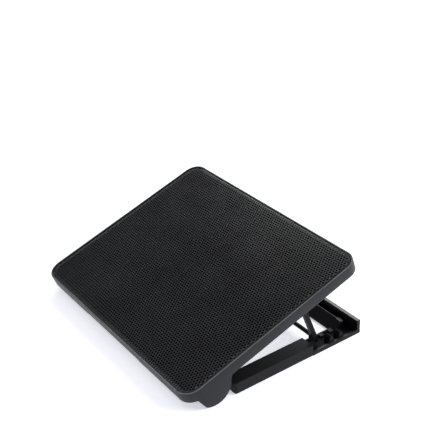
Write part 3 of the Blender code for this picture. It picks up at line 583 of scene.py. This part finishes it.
def shade_screen_material(name):
    """Black plastic screen under the holes, as painted shade in them: a fine grid of round threads."""
    material, tree, shader, place = blank_material(name, 0.02)
    threads = []
    for direction in ("X", "Y"):
        sockets = {"Vector": place, "Scale": 550}
        wave = node(tree, "ShaderNodeTexWave", sockets, bands_direction=direction)
        threads.append(wave.outputs["Fac"])
    weave = maths(tree, "MAXIMUM", *threads)
    base = blend_colours(tree, weave, (0.0006, 0.0006, 0.0006, 1), (0.0025, 0.0025, 0.003, 1))
    rough = spread(tree, weave, 0, 1, 0.9, 0.6)
    set_sockets(tree, shader, {"Base Color": base, "Roughness": rough})
    add_bump(tree, shader, weave, 0.6, 0.0001)
    return material


def moulded_rubber(name):
    """Matt black rubber with a fine grain and a dusty bloom."""
    material, tree, shader, place = blank_material(name, 0.25)
    bloom = spread(tree, noise(tree, place, scale=130, detail=5, rough=0.65), 0.4, 0.75)
    base = blend_colours(tree, bloom, (0.010, 0.010, 0.011, 1), (0.030, 0.030, 0.031, 1))
    rough = spread(tree, bloom, 0, 1, 0.72, 0.92)
    set_sockets(tree, shader, {"Base Color": base, "Roughness": rough})
    add_bump(tree, shader, noise(tree, place, scale=1800), 0.5, 0.00005)
    return material


CASE_PLASTIC = moulded_plastic("case_plastic_look", (0.0110, 0.0116, 0.0145), 0.46, 0.25)
# The rim's lip and the ridge's crest: a lighter, glossier tone that paints a highlight.
LIP_HIGHLIGHT_PLASTIC = moulded_plastic(
    "lip_painted_highlight_look", (0.115, 0.118, 0.128), 0.30, 0.7, relief=0.00001
)
# The ledge's pale tone paints glints under the outermost holes.
LEDGE_GLINT_PLASTIC = moulded_plastic("ledge_painted_glint_look", (0.30, 0.30, 0.32), 0.34, relief=0.00001)
SHADE_SCREEN_LOOK = shade_screen_material("shade_screen_look")
COVER_PLASTIC = moulded_plastic("cover_plastic_look", (0.017, 0.017, 0.019), 0.60, grain=0.0009)
BASE_PLASTIC = moulded_plastic(
    "base_plastic_look", (0.0042, 0.0042, 0.0056), 0.44, 0.16, grain=0.0008
)
# A much lighter tone for the crests of the base's walls: a painted highlight.
CREST_HIGHLIGHT_PLASTIC = moulded_plastic("crest_painted_highlight_look", (0.074, 0.074, 0.079), 0.34, 0.5)
RACK_PLASTIC = moulded_plastic("rack_plastic_look", (0.0040, 0.0040, 0.0050), 0.66, 0.10)
BLACK_PLASTIC = moulded_plastic("black_plastic_look", (0.008, 0.008, 0.009), 0.45)
BAIL_PLASTIC = moulded_plastic("bail_plastic_look", (0.0030, 0.0030, 0.0042), 0.42, 0.12)
ROTOR_PLASTIC = moulded_plastic("rotor_plastic_look", (0.012, 0.012, 0.014), 0.36, relief=0.00002)
TONGUE_PLASTIC = moulded_plastic(
    "tongue_plastic_look", (0.014, 0.014, 0.016), 0.42, relief=0.00002
)
MESH_METAL = painted_metal("mesh_metal_look", (0.0105, 0.0105, 0.0120), 0.30, 0.42)
# A pale metal for the hole walls near the sheet's sides: painted glints.
GLINT_METAL = painted_metal("painted_glint_metal_look", (0.17, 0.17, 0.18), 0.30, 0.5)
STEEL = bare_metal("steel_look", (0.62, 0.62, 0.64), 0.30)
GOLD = bare_metal("contact_gold_look", (0.85, 0.58, 0.22), 0.25)
COPPER = copper_winding("copper_look")
BOARD = circuit_board("board_look")
RUBBER = moulded_rubber("rubber_look")


# --- deck ---------------------------------------------------------------------------------------


def pod_floor(y):
    """Height of a hinge pod's underside at a distance along the deck, or the case's own underside."""
    flat_y = POD_RADIUS * math.cos(POD_FLAT_ANGLE)
    flat_z = POD_RADIUS * math.sin(POD_FLAT_ANGLE)
    end_y = POD_RADIUS * math.cos(POD_END_ANGLE)
    end_z = POD_RADIUS * math.sin(POD_END_ANGLE)
    if y <= POD_START or y >= POD_FAIRING:
        return 0.0
    if y < flat_y:
        return flat_z * (y - POD_START) / (flat_y - POD_START)
    if y <= end_y:
        return -math.sqrt(POD_RADIUS**2 - y**2)
    share = (POD_FAIRING - y) / (POD_FAIRING - end_y)
    return end_z * share * share


def relief_floor(x):
    """The front edge's shallow relief: its underside is raised across the middle."""
    share = min(max((RELIEF_X[1] - x) / (RELIEF_X[1] - RELIEF_X[0]), 0.0), 1.0)
    return RELIEF_DEPTH * (1 - math.cos(math.pi * share)) / 2


def rim_columns():
    """Stations round the rim's right half, from the middle of the front to that of the rear.

    Each is a function of the side and front insets that gives a point, the height of the
    underside there, and the inner corner of the hinge pod where there is one.
    """
    columns = []

    def front(x):
        columns.append((lambda side, forward: (x, DECK_FRONT + forward), relief_floor(x), None))

    def corner(angle, radius, centre_y, sign):
        def place(side, forward):
            reach = radius - side
            middle = centre_y + (forward - side if sign < 0 else 0.0)
            return (HALF_WIDTH - radius + reach * math.cos(angle), middle + reach * math.sin(angle))

        x, y = place(0.0, 0.0)
        inner = None
        if sign < 0 and x > POD_INNER:
            inner = (POD_INNER, max(y, DECK_FRONT + FRONT_WALL))
        columns.append((place, pod_floor(y) if sign < 0 else 0.0, inner))

    def side_wall(y):
        inner = (POD_INNER, y) if y <= POD_FAIRING + 1e-6 else None
        columns.append((lambda side, forward: (HALF_WIDTH - side, y), pod_floor(y), inner))

    def rear(x):
        columns.append((lambda side, forward: (x, DECK_REAR - side), 0.0, None))

    for x in (*FRONT_INNER_X, *stations(*RELIEF_X, 6), *FRONT_OUTER_X):
        front(x)
    corner_y = DECK_FRONT + FRONT_CORNER
    start = math.asin((POD_START - corner_y) / FRONT_CORNER)
    flat = math.asin((POD_RADIUS * math.cos(POD_FLAT_ANGLE) - corner_y) / FRONT_CORNER)
    turns = stations(-math.pi / 2, start, 10) + stations(start, flat, 4, 1) + stations(flat, 0, 2, 1)
    for angle in turns:
        corner(angle, FRONT_CORNER, corner_y, -1)
    first = math.acos(SIDE_START / POD_RADIUS)
    last = math.tau - POD_END_ANGLE
    along = [POD_RADIUS * math.cos(angle) for angle in stations(first, last, 24)]
    along += stations(POD_RADIUS * math.cos(POD_END_ANGLE), POD_FAIRING, 4, 1)
    along += stations(POD_FAIRING + POD_BLEND, DECK_REAR - REAR_CORNER, 12)[:-1]
    for y in along:
        side_wall(y)
    for angle in stations(0, math.pi / 2, 12):
        corner(angle, REAR_CORNER, DECK_REAR - REAR_CORNER, 1)
    for x in REAR_X:
        rear(x)
    return columns


def rim_section(column):
    """The rim's cross-section at a station: down the inside from the lip, and out below."""
    place, floor, pod_inner = column
    lip = place(LIP, LIP)
    wall = place(WALL, FRONT_WALL)
    ledge = place(WALL + LEDGE_WIDTH, FRONT_WALL + LEDGE_WIDTH)
    outer = place(0.0, 0.0)
    if pod_inner is None:
        inner, (shelf, step) = wall, WALL_HEIGHTS
    else:
        inner, shelf, step = pod_inner, POD_FLOOR, POD_FLOOR
    return [
        (*outer, CASE_HEIGHT), (*lip, CASE_HEIGHT), (*lip, LEDGE_TOP), (*ledge, LEDGE_TOP),
        (*ledge, LEDGE_LOW), (*wall, LEDGE_LOW), (*wall, step), (*inner, shelf), (*inner, floor),
        (*outer, floor),
    ]


def rim_cutters():
    """Tools for the two hinge bores, the two USB mouths and the slot of the speed dial."""
    tools = []
    for side in (1, -1):
        low, high = sorted(side * x for x in BORE_SPAN)
        tools.append(deck_prism(f"bore_{side}", circle((0, 0), BORE_RADIUS), low, high, "x"))
    outside = DECK_REAR + CUT_PAST
    for x in SOCKET_X:
        half = SOCKET_SIZE[0] / 2 + GAP
        low, high = (x - half, SOCKET_LOW - GAP), (x + half, SOCKET_LOW + SOCKET_SIZE[2] + GAP)
        loop = rounded(low, high, MOUTH_CORNER, MOUTH_CORNER, 4)
        tools.append(deck_prism(f"mouth_{x}", loop, DECK_REAR - MOUTH_DEPTH, outside, "y"))
    low = (DIAL_X - SLOT_HALF, DIAL_LOW - SLOT_GAP)
    high = (DIAL_X + SLOT_HALF, DIAL_LOW + DIAL_HEIGHT + SLOT_GAP)
    loop = rounded(low, high, SLOT_CORNER, SLOT_CORNER, 4)
    tools.append(deck_prism("dial_slot", loop, DECK_REAR - SLOT_DEPTH, outside, "y"))
    return tools


def case_rim():
    """The deck's side walls in one sweep, with its lip, ledge and hinge pods."""
    right = [rim_section(column) for column in rim_columns()]
    left = [[(-x, y, z) for x, y, z in section] for section in reversed(right[1:-1])]
    sections = right + left

    def fill(work):
        rings = [[work.verts.new(point) for point in section] for section in sections]
        for first, second in zip(rings, rings[1:] + rings[:1]):
            for i in range(len(first)):
                j = (i + 1) % len(first)
                work.faces.new((first[i], first[j], second[j], second[i]))
        bmesh.ops.remove_doubles(work, verts=work.verts, dist=1e-6)

    rim = mesh_from("deck_rim", fill, DECK)
    bevel(rim, RIM_ROUND, angle=50)
    tools = rim_cutters()
    for tool in tools:
        boolean(rim, tool)
    bake_modifiers(rim, *tools)
    smooth(rim, 40)
    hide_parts("case_rim")
    finish_piece(rim, "deck", CASE_PLASTIC)
    # The lip takes a lighter tone: a painted highlight.
    rim.data.materials.append(LIP_HIGHLIGHT_PLASTIC)
    # The ledge's top takes a pale tone: painted glints under the outermost holes.
    rim.data.materials.append(LEDGE_GLINT_PLASTIC)
    for face in rim.data.polygons:
        height = (DECK_INVERSE @ face.center).z
        if height > LIP_HIGHLIGHT_LOW:
            face.material_index = 1
        elif abs(height - LEDGE_TOP) < LEDGE_TOLERANCE:
            face.material_index = 2


def nearest_on_outline(x, y, low, high, front, rear):
    """Whether a point is outside a rectangle with round corners, and the nearest point of it."""
    radius = front if y < (low[1] + high[1]) / 2 else rear
    middle_x = min(max(x, low[0] + radius), high[0] - radius)
    middle_y = min(max(y, low[1] + radius), high[1] - radius)
    away = Vector((x - middle_x, y - middle_y))
    if away.length <= radius:
        return False, (x, y)
    away.normalize()
    return True, (middle_x + away.x * radius, middle_y + away.y * radius)


def depth_inside(x, y, low, high, front, rear):
    """How far a point lies inside a rectangle with round corners."""
    radius = front if y < (low[1] + high[1]) / 2 else rear
    over_x = abs(x - (low[0] + high[0]) / 2) - (high[0] - low[0]) / 2 + radius
    over_y = abs(y - (low[1] + high[1]) / 2) - (high[1] - low[1]) / 2 + radius
    past_corner = math.hypot(max(over_x, 0.0), max(over_y, 0.0))
    return radius - past_corner - min(max(over_x, over_y), 0.0)


def perforated_sheet(side, label):
    """Half of the deck's sheet: staggered round holes right up to a narrow plain margin."""
    inset = LIP + SHEET_GAP
    low, high = (-HALF_WIDTH + inset, DECK_FRONT + inset), (HALF_WIDTH - inset, DECK_REAR - inset)
    corners = (FRONT_CORNER - inset, REAR_CORNER - inset)
    pitch = (high[0] - low[0] - 2 * SHEET_MARGIN) / HOLE_COLUMNS
    row_step = (high[1] - low[1] - 2 * SHEET_MARGIN) / HOLE_ROWS
    border = [(1, 0), (1, 1), (0, 1), (-1, 1), (-1, 0), (-1, -1), (0, -1), (1, -1)]
    plain = SHEET_MARGIN / 2
    holed_low = (low[0] + plain, low[1] + plain)
    holed_high = (high[0] - plain, high[1] - plain)
    holed_corners = [radius - plain for radius in corners]

    def in_margin(point):
        return nearest_on_outline(*point, holed_low, holed_high, *holed_corners)[0]

    def fill(work):
        known = {}

        def vertex(x, y):
            key = (round(x, 7), round(y, 7))
            if key not in known:
                reach = depth_inside(x, y, low, high, *corners) / ROLL_WIDTH
                drop = ROLL_DROP * (1 - min(max(reach, 0.0), 1.0)) ** 2
                known[key] = work.verts.new((*key, SHEET_TOP - drop))
            return known[key]

        for row in range(-1, HOLE_ROWS + 1):
            y = low[1] + SHEET_MARGIN + (row + 0.5) * row_step
            shift = 0.5 if row % 2 else 0.0
            first = 1 if side < 0 and shift == 0 else 0
            for column in range(first, HOLE_COLUMNS // 2 + 2):
                add_cell(work, vertex, side * (column + shift) * pitch, y)

    def add_cell(work, vertex, x, y):
        around = [(x + pitch / 2 * u, y + row_step / 2 * v) for u, v in border]
        tested = [nearest_on_outline(u, v, low, high, *corners) for u, v in around]
        if all(outside for outside, _ in tested):
            return
        ring = [vertex(*place) for _, place in tested]
        if any(in_margin((x + HOLE_RADIUS * u, y + HOLE_RADIUS * v)) for u, v in border):
            face = [v for i, v in enumerate(ring) if v is not ring[i - 1]]
            if len(face) > 2:
                work.faces.new(face)
            return
        hole = [vertex(*point) for point in circle((x, y), HOLE_RADIUS, HOLE_SIDES)]
        for i in range(HOLE_SIDES):
            j = (i + 1) % HOLE_SIDES
            work.faces.new((ring[i], ring[j], hole[j], hole[i]))

    sheet = mesh_from(f"deck_mesh_{label}", fill, DECK, closed=False)
    thicken(sheet, SHEET_THICKNESS, -1)
    bake_modifiers(sheet)
    smooth(sheet, 50)
    if side > 0:
        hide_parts("deck_plate")
    finish_piece(sheet, "deck", MESH_METAL)
    sheet.data.materials.append(GLINT_METAL)
    # Hole walls near the sides take the pale metal: painted glints.
    turned = DECK_INVERSE.to_3x3()
    for face in sheet.data.polygons:
        depth = high[0] - abs((DECK_INVERSE @ face.center).x)
        if SHEET_MARGIN < depth < GLINT_WIDTH and abs((turned @ face.normal).z) < STEEP:
            face.material_index = 1


def shade_screen():
    """A thin near-black plastic screen that lies on the rim's ledge under the perforated sheet:
    painted shade seen through its holes.
    """
    low = (-HALF_WIDTH + SCREEN_INSET, DECK_FRONT + SCREEN_FRONT)
    high = (HALF_WIDTH - SCREEN_INSET, DECK_REAR - SCREEN_INSET)
    loop = rounded(low, high, FRONT_CORNER - SCREEN_INSET, REAR_CORNER - SCREEN_INSET)
    screen = deck_prism("shade_screen", loop, *SCREEN_SPAN)
    smooth(screen)
    finish_piece(screen, "deck", SHADE_SCREEN_LOOK)


def bottom_cover():
    cover = refined("bottom_cover", "underside_cover", EDGES["cover"])
    finish_piece(cover, "deck", COVER_PLASTIC)


# --- fans ---------------------------------------------------------------------------------------


def fan_housing(side, label):
    housing = refined(f"fan_frame_{label}", f"fan_housing_{label}", EDGES["fan"])
    finish_piece(housing, "deck", BLACK_PLASTIC)


def blade_point(reach, share):
    """A point of a blade's middle surface: the chord turns, climbs and cups from root to tip."""
    out = (reach - HUB_RADIUS) / (BLADE_TIP - HUB_RADIUS)
    chord = math.radians(BLADE_CHORD + BLADE_CHORD_GROWTH * out)
    angle = math.radians(BLADE_SWEEP) * out + chord * (share - 0.5)
    climb = (ROTOR_TOP - ROTOR_LOW - 2 * BLADE_MARGIN) * share
    height = ROTOR_LOW + BLADE_MARGIN + climb
    cup = BLADE_CUP * math.sin(math.pi * share)
    return Vector((reach * math.cos(angle), reach * math.sin(angle), height - cup))


def impeller(side, label):
    """The fan's rotor: a cupped hub with swept, twisted blades."""
    place = DECK @ Matrix.Translation((side * FAN_X, FAN_Y, 0))
    profile = [(0, ROTOR_TOP), (HUB_RADIUS * HUB_FLAT, ROTOR_TOP)]
    profile += [(HUB_RADIUS - inward, ROTOR_TOP - down) for inward, down in HUB_SHOULDER]
    profile += [
        (HUB_RADIUS, ROTOR_LOW + HUB_CHAMFER), (HUB_RADIUS - HUB_CHAMFER, ROTOR_LOW),
        (HUB_RADIUS - HUB_WALL, ROTOR_LOW), (HUB_RADIUS - HUB_WALL, ROTOR_TOP - HUB_CROWN),
        (SHAFT_RADIUS, ROTOR_TOP - HUB_CROWN), (SHAFT_RADIUS, ROTOR_LOW), (0, ROTOR_LOW),
    ]

    def blades(work):
        along, across = BLADE_GRID
        length = BLADE_TIP - HUB_RADIUS + BLADE_ROOT
        for index in range(BLADE_COUNT):
            turn = Matrix.Rotation(math.tau * index / BLADE_COUNT, 3, "Z")
            grid = []
            for i in range(along + 1):
                reach = HUB_RADIUS - BLADE_ROOT + length * i / along
                past = max(0.0, i / along - TIP_ROUND_START) / (1 - TIP_ROUND_START)
                trim = TIP_ROUND * past**2
                shares = [trim + (1 - 2 * trim) * k / across for k in range(across + 1)]
                points = [turn @ blade_point(reach, share) for share in shares]
                grid.append([work.verts.new(point) for point in points])
            for first, second in zip(grid, grid[1:]):
                for k in range(across):
                    work.faces.new((first[k], second[k], second[k + 1], first[k + 1]))

    hub_name, vanes_name = f"fan_impeller_{label}", f"vanes_{label}"
    rotor = mesh_from(hub_name, lambda work: add_lathe(work, profile, HUB_STEPS), place)
    vanes = mesh_from(vanes_name, blades, place, closed=False)
    thicken(vanes, BLADE_THICKNESS, 0)
    bevel(vanes, BLADE_EDGE, 2, 60)
    boolean(rotor, vanes, "UNION")
    bake_modifiers(rotor, vanes)
    smooth(rotor, 40)
    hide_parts(f"fan_rotor_{label}")
    finish_piece(rotor, f"rotor_{label}", ROTOR_PLASTIC)


# --- rear controls ------------------------------------------------------------------------------


def usb_port(x, label):
    """A folded steel shell with a rounded mouth, and its tongue with four gilt contacts."""
    width, depth, height = SOCKET_SIZE
    rear = DECK_REAR - SOCKET_RECESS
    inner_end = rear - depth
    low, high = (x - width / 2, SOCKET_LOW), (x + width / 2, SOCKET_LOW + height)
    outside = rounded(low, high, SOCKET_CORNER, SOCKET_CORNER, 5)
    low = (low[0] + SOCKET_SKIN, low[1] + SOCKET_SKIN)
    high = (high[0] - SOCKET_SKIN, high[1] - SOCKET_SKIN)
    inside = rounded(low, high, HOLLOW_CORNER, HOLLOW_CORNER, 5)
    shell = deck_prism(f"usb_shell_{label}", outside, inner_end, rear, "y")
    tools = [deck_prism("hollow", inside, inner_end + SOCKET_BACK, rear + CUT_PAST, "y")]
    top = SOCKET_LOW + height
    for offset in SLIT_OFFSETS:
        middle = x + offset
        slit = box_loop((middle - SLIT_HALF, rear - SLIT_Y[0]), (middle + SLIT_HALF, rear - SLIT_Y[1]))
        tools.append(deck_prism(f"slit_{offset}", slit, top - SLIT_DEPTH, top + CUT_PAST))
    for tool in tools:
        boolean(shell, tool)
    bevel(shell, SHELL_EDGE, 2, 50)
    bake_modifiers(shell, *tools)
    smooth(shell)
    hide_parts(f"usb_socket_{label}")
    finish_piece(shell, "deck", STEEL)

    half = width / 2 - TONGUE_INSET
    tongue_low, tongue_high = (SOCKET_LOW + z for z in TONGUE_Z)
    block = box_loop((x - half, inner_end + TONGUE_BACK), (x + half, rear - TONGUE_FRONT))
    tongue = deck_prism(f"usb_tongue_{label}", block, tongue_low, tongue_high)
    bevel(tongue, TONGUE_EDGE)
    bake_modifiers(tongue)
    smooth(tongue)
    finish_piece(tongue, "deck", TONGUE_PLASTIC)

    def strips(work):
        for index in range(CONTACT_COUNT):
            middle = x + (index - (CONTACT_COUNT - 1) / 2) * CONTACT_PITCH
            start = (middle - CONTACT_HALF, inner_end + CONTACT_BACK)
            end = (middle + CONTACT_HALF, rear - CONTACT_FRONT)
            add_prism(work, box_loop(start, end), *(tongue_low + z for z in CONTACT_Z))

    contacts = mesh_from(f"usb_contacts_{label}", strips, DECK)
    finish_piece(contacts, "deck", GOLD)


def speed_wheel():
    """The thumbwheel: a knurled edge, a dished face and a bore."""
    centre = (DIAL_X, DECK_REAR + DIAL_PROUD - DIAL_RADIUS)
    start, end = DIAL_RIDGE_SHARES
    outline = ((0.0, DIAL_RADIUS - DIAL_GROOVE), (start, DIAL_RADIUS), (end, DIAL_RADIUS))
    loop = []
    for index in range(DIAL_RIDGES):
        for share, radius in outline:
            angle = math.tau * (index + share) / DIAL_RIDGES
            loop.append((centre[0] + radius * math.cos(angle), centre[1] + radius * math.sin(angle)))
    top = DIAL_LOW + DIAL_HEIGHT
    wheel = deck_prism("speed_wheel", loop, DIAL_LOW, top)
    dished = circle(centre, DIAL_RADIUS - DISH_RIM, 48)
    dish = deck_prism("dish", dished, top - DISH_DEPTH, DIAL_CUT_TOP)
    bore = deck_prism("bore", circle(centre, DIAL_BORE), 0, DIAL_CUT_TOP)
    bevel(wheel, DIAL_EDGE, 2, 30)
    boolean(wheel, dish)
    boolean(wheel, bore)
    bake_modifiers(wheel, dish, bore)
    smooth(wheel)
    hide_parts("speed_dial")
    finish_piece(wheel, "dial", BLACK_PLASTIC)


# --- screws -------------------------------------------------------------------------------------


def screw_mesh(length):
    """A pan-head screw seen from below: a domed head with a cross recess, and a plain shank."""
    dome = SCREW_HEAD_HEIGHT * SCREW_DOME
    end = SCREW_HEAD_HEIGHT + length
    profile = [
        (SCREW_HEAD * math.cos(a), dome - dome * math.sin(a))
        for a in reversed(stations(0, math.pi / 2, 7))
    ]
    profile += [(SCREW_HEAD, SCREW_HEAD_HEIGHT), (SHANK_RADIUS, SCREW_HEAD_HEIGHT)]
    profile += [(SHANK_RADIUS, end), (0.0, end)]
    body = mesh_from("screw_body", lambda work: add_lathe(work, profile, SCREW_STEPS))
    tools = []
    for half_x, half_y in ((RECESS_REACH, RECESS_HALF), (RECESS_HALF, RECESS_REACH)):
        arm = box_loop((-half_x, -half_y), (half_x, half_y))
        tool = mesh_from("recess", lambda work: add_prism(work, arm, -CUT_PAST, RECESS_DEPTH))
        boolean(body, tool)
        tools.append(tool)
    bevel(body, SCREW_EDGE, 2, 50)
    bake_modifiers(body, *tools)
    smooth(body)
    mesh = body.data
    bpy.data.objects.remove(body)
    return mesh


def screws():
    """A screw in the place of each CAD screw, each turned to its own angle."""
    shapes = {family: screw_mesh(length) for family, length in SHANK_LENGTHS.items()}
    for index, name in enumerate(sorted(n for n in frame["nodes"] if "_screw_" in n)):
        points = [DECK_INVERSE @ v.co for v in frame["nodes"][name].data.vertices]
        middle = [(min(p[i] for p in points) + max(p[i] for p in points)) / 2 for i in (0, 1)]
        low = min(p.z for p in points)
        turn = Matrix.Rotation(index * SCREW_TURN, 4, "Z")
        place = DECK @ Matrix.Translation((*middle, low)) @ turn
        shape = shapes[name.split("_")[0]].copy()
        screw = new_object(name.replace("screw", "pan_screw"), shape, place)
        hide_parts(name)
        finish_piece(screw, "deck", STEEL)


# --- bail and base ------------------------------------------------------------------------------


def bail():
    prop = refined("bail", "prop_bail", EDGES["bail"], 3)
    finish_piece(prop, "bail", BAIL_PLASTIC)
    for label in ("left", "right"):
        saddle = refined(f"bail_bracket_{label}", f"bail_saddle_{label}", EDGES["bracket"], 3)
        finish_piece(saddle, "deck", BLACK_PLASTIC)


def base_look(middle):
    """The look of the base's face with this middle: lighter crests as painted highlights, coarse racks
    and arm floors.
    """
    # Wall crests take a lighter tone: a painted highlight.
    if middle.z > WALL_CREST:
        return CREST_HIGHLIGHT_PLASTIC
    # The ridge's crest takes the lip's lighter tone: a painted highlight.
    if middle.z > RIDGE_CREST and RIDGE_Y[0] < middle.y < RIDGE_Y[1]:
        return LIP_HIGHLIGHT_PLASTIC
    low_crest = LOW_CREST[0] < middle.z < LOW_CREST[1] and abs(middle.x) > LOW_CREST_X
    # The low wall's crest takes a lighter, glossier black: a painted highlight.
    if low_crest and middle.y > RACK_Y[0]:
        return BLACK_PLASTIC
    in_rack = RACK_X[0] < abs(middle.x) < RACK_X[1] and RACK_Y[0] < middle.y < RACK_Y[1]
    on_floor = ARM_FLOOR[0] < middle.z < ARM_FLOOR[1]
    return RACK_PLASTIC if in_rack or on_floor else BASE_PLASTIC


def base():
    moulding = refined("base_frame", "base_moulding", EDGES["base"], 3)
    finish_piece(moulding, "base", BASE_PLASTIC)
    looks = [BASE_PLASTIC, CREST_HIGHLIGHT_PLASTIC, LIP_HIGHLIGHT_PLASTIC, BLACK_PLASTIC, RACK_PLASTIC]
    for material in looks[1:]:
        moulding.data.materials.append(material)
    for face in moulding.data.polygons:
        face.material_index = looks.index(base_look(face.center))
    for label in ("left", "right"):
        casing = refined(f"arm_casing_{label}", f"arm_cover_{label}", EDGES["casing"])
        finish_piece(casing, "base", BASE_PLASTIC)
        for row in ("front", "rear"):
            foot = refined(f"foot_{row}_{label}", f"rubber_foot_{row}_{label}", EDGES["foot"])
            finish_piece(foot, "base", RUBBER)


def carried_over():
    """CAD nodes whose shape is right keep it and take a better material."""
    looks = {"control_board": BOARD, "speed_regulator": STEEL}
    for label in ("left", "right"):
        looks[f"fan_motor_{label}"] = COPPER
        looks[f"hinge_pin_{label}"] = STEEL
    for name, material in looks.items():
        for socket in frame["nodes"][name].material_slots:
            socket.material = material


# --- stage --------------------------------------------------------------------------------------


def stage_material():
    """A pale matt floor with a barely uneven finish."""
    material, tree, shader, place = blank_material("pale_floor", 0.2)
    share = spread(tree, noise(tree, place, scale=3, detail=3), *NOISE_SPAN)
    colour = blend_colours(tree, share, (0.87, 0.88, 0.93, 1), (0.89, 0.90, 0.95, 1))
    set_sockets(tree, shader, {"Base Color": colour, "Emission Color": colour})
    set_sockets(tree, shader, {"Emission Strength": FLOOR_GLOW, "Roughness": 0.8})
    return material


def floor():
    def fill(work):
        bmesh.ops.create_grid(work, x_segments=4, y_segments=4, size=FLOOR_HALF)

    ground = mesh_from("floor", fill, closed=False)
    ground.location.z = -FLOOR_DROP
    ground.data.materials.append(stage_material())


def soft_light(name, place, target, size, power):
    data = bpy.data.lights.new(name, "AREA")
    data.shape = "SQUARE"
    data.size = size
    data.energy = power
    lamp = bpy.data.objects.new(name, data)
    lamp.location = place
    lamp.rotation_euler = (Vector(target) - Vector(place)).to_track_quat("-Z", "Y").to_euler()
    bpy.context.scene.collection.objects.link(lamp)


def surroundings():
    """An even sky: bright where it is level with the object, dimmer overhead."""
    world = bpy.data.worlds.new("studio")
    world.use_nodes = True
    tree = world.node_tree
    direction = node(tree, "ShaderNodeTexCoord", {}).outputs["Generated"]
    height = node(tree, "ShaderNodeSeparateXYZ", {"Vector": direction}).outputs["Z"]
    strength = spread(tree, height, *SKY_BAND, SKY_LOW, SKY_HIGH)
    background = tree.nodes["Background"]
    set_sockets(tree, background, {"Color": SKY_COLOUR, "Strength": strength})
    bpy.context.scene.world = world
    bpy.context.scene.view_settings.view_transform = "Standard"


def camera():
    data = bpy.data.cameras.new("camera")
    data.lens = CAMERA_LENS
    data.sensor_width = CAMERA_SENSOR
    data.clip_end = CAMERA_REACH
    eye = bpy.data.objects.new("camera", data)
    level = math.cos(CAMERA_ELEVATION)
    across, ahead = -math.sin(CAMERA_AZIMUTH) * level, math.cos(CAMERA_AZIMUTH) * level
    forward = Vector((across, ahead, -math.sin(CAMERA_ELEVATION)))
    aimed = forward.to_track_quat("-Z", "Y").to_matrix().to_4x4()
    turn = aimed @ Matrix.Rotation(CAMERA_ROLL, 4, "Z")
    eye.matrix_world = Matrix.Translation(CAMERA_PLACE) @ turn
    bpy.context.scene.collection.objects.link(eye)
    bpy.context.scene.camera = eye


case_rim()
both_sides(perforated_sheet)
shade_screen()
bottom_cover()
both_sides(fan_housing)
both_sides(impeller)
usb_port(SOCKET_X[0], "inner")
usb_port(SOCKET_X[1], "outer")
speed_wheel()
screws()
bail()
base()
carried_over()

surroundings()
floor()
for light_name, setting in LIGHTS.items():
    soft_light(light_name, *setting)
camera()
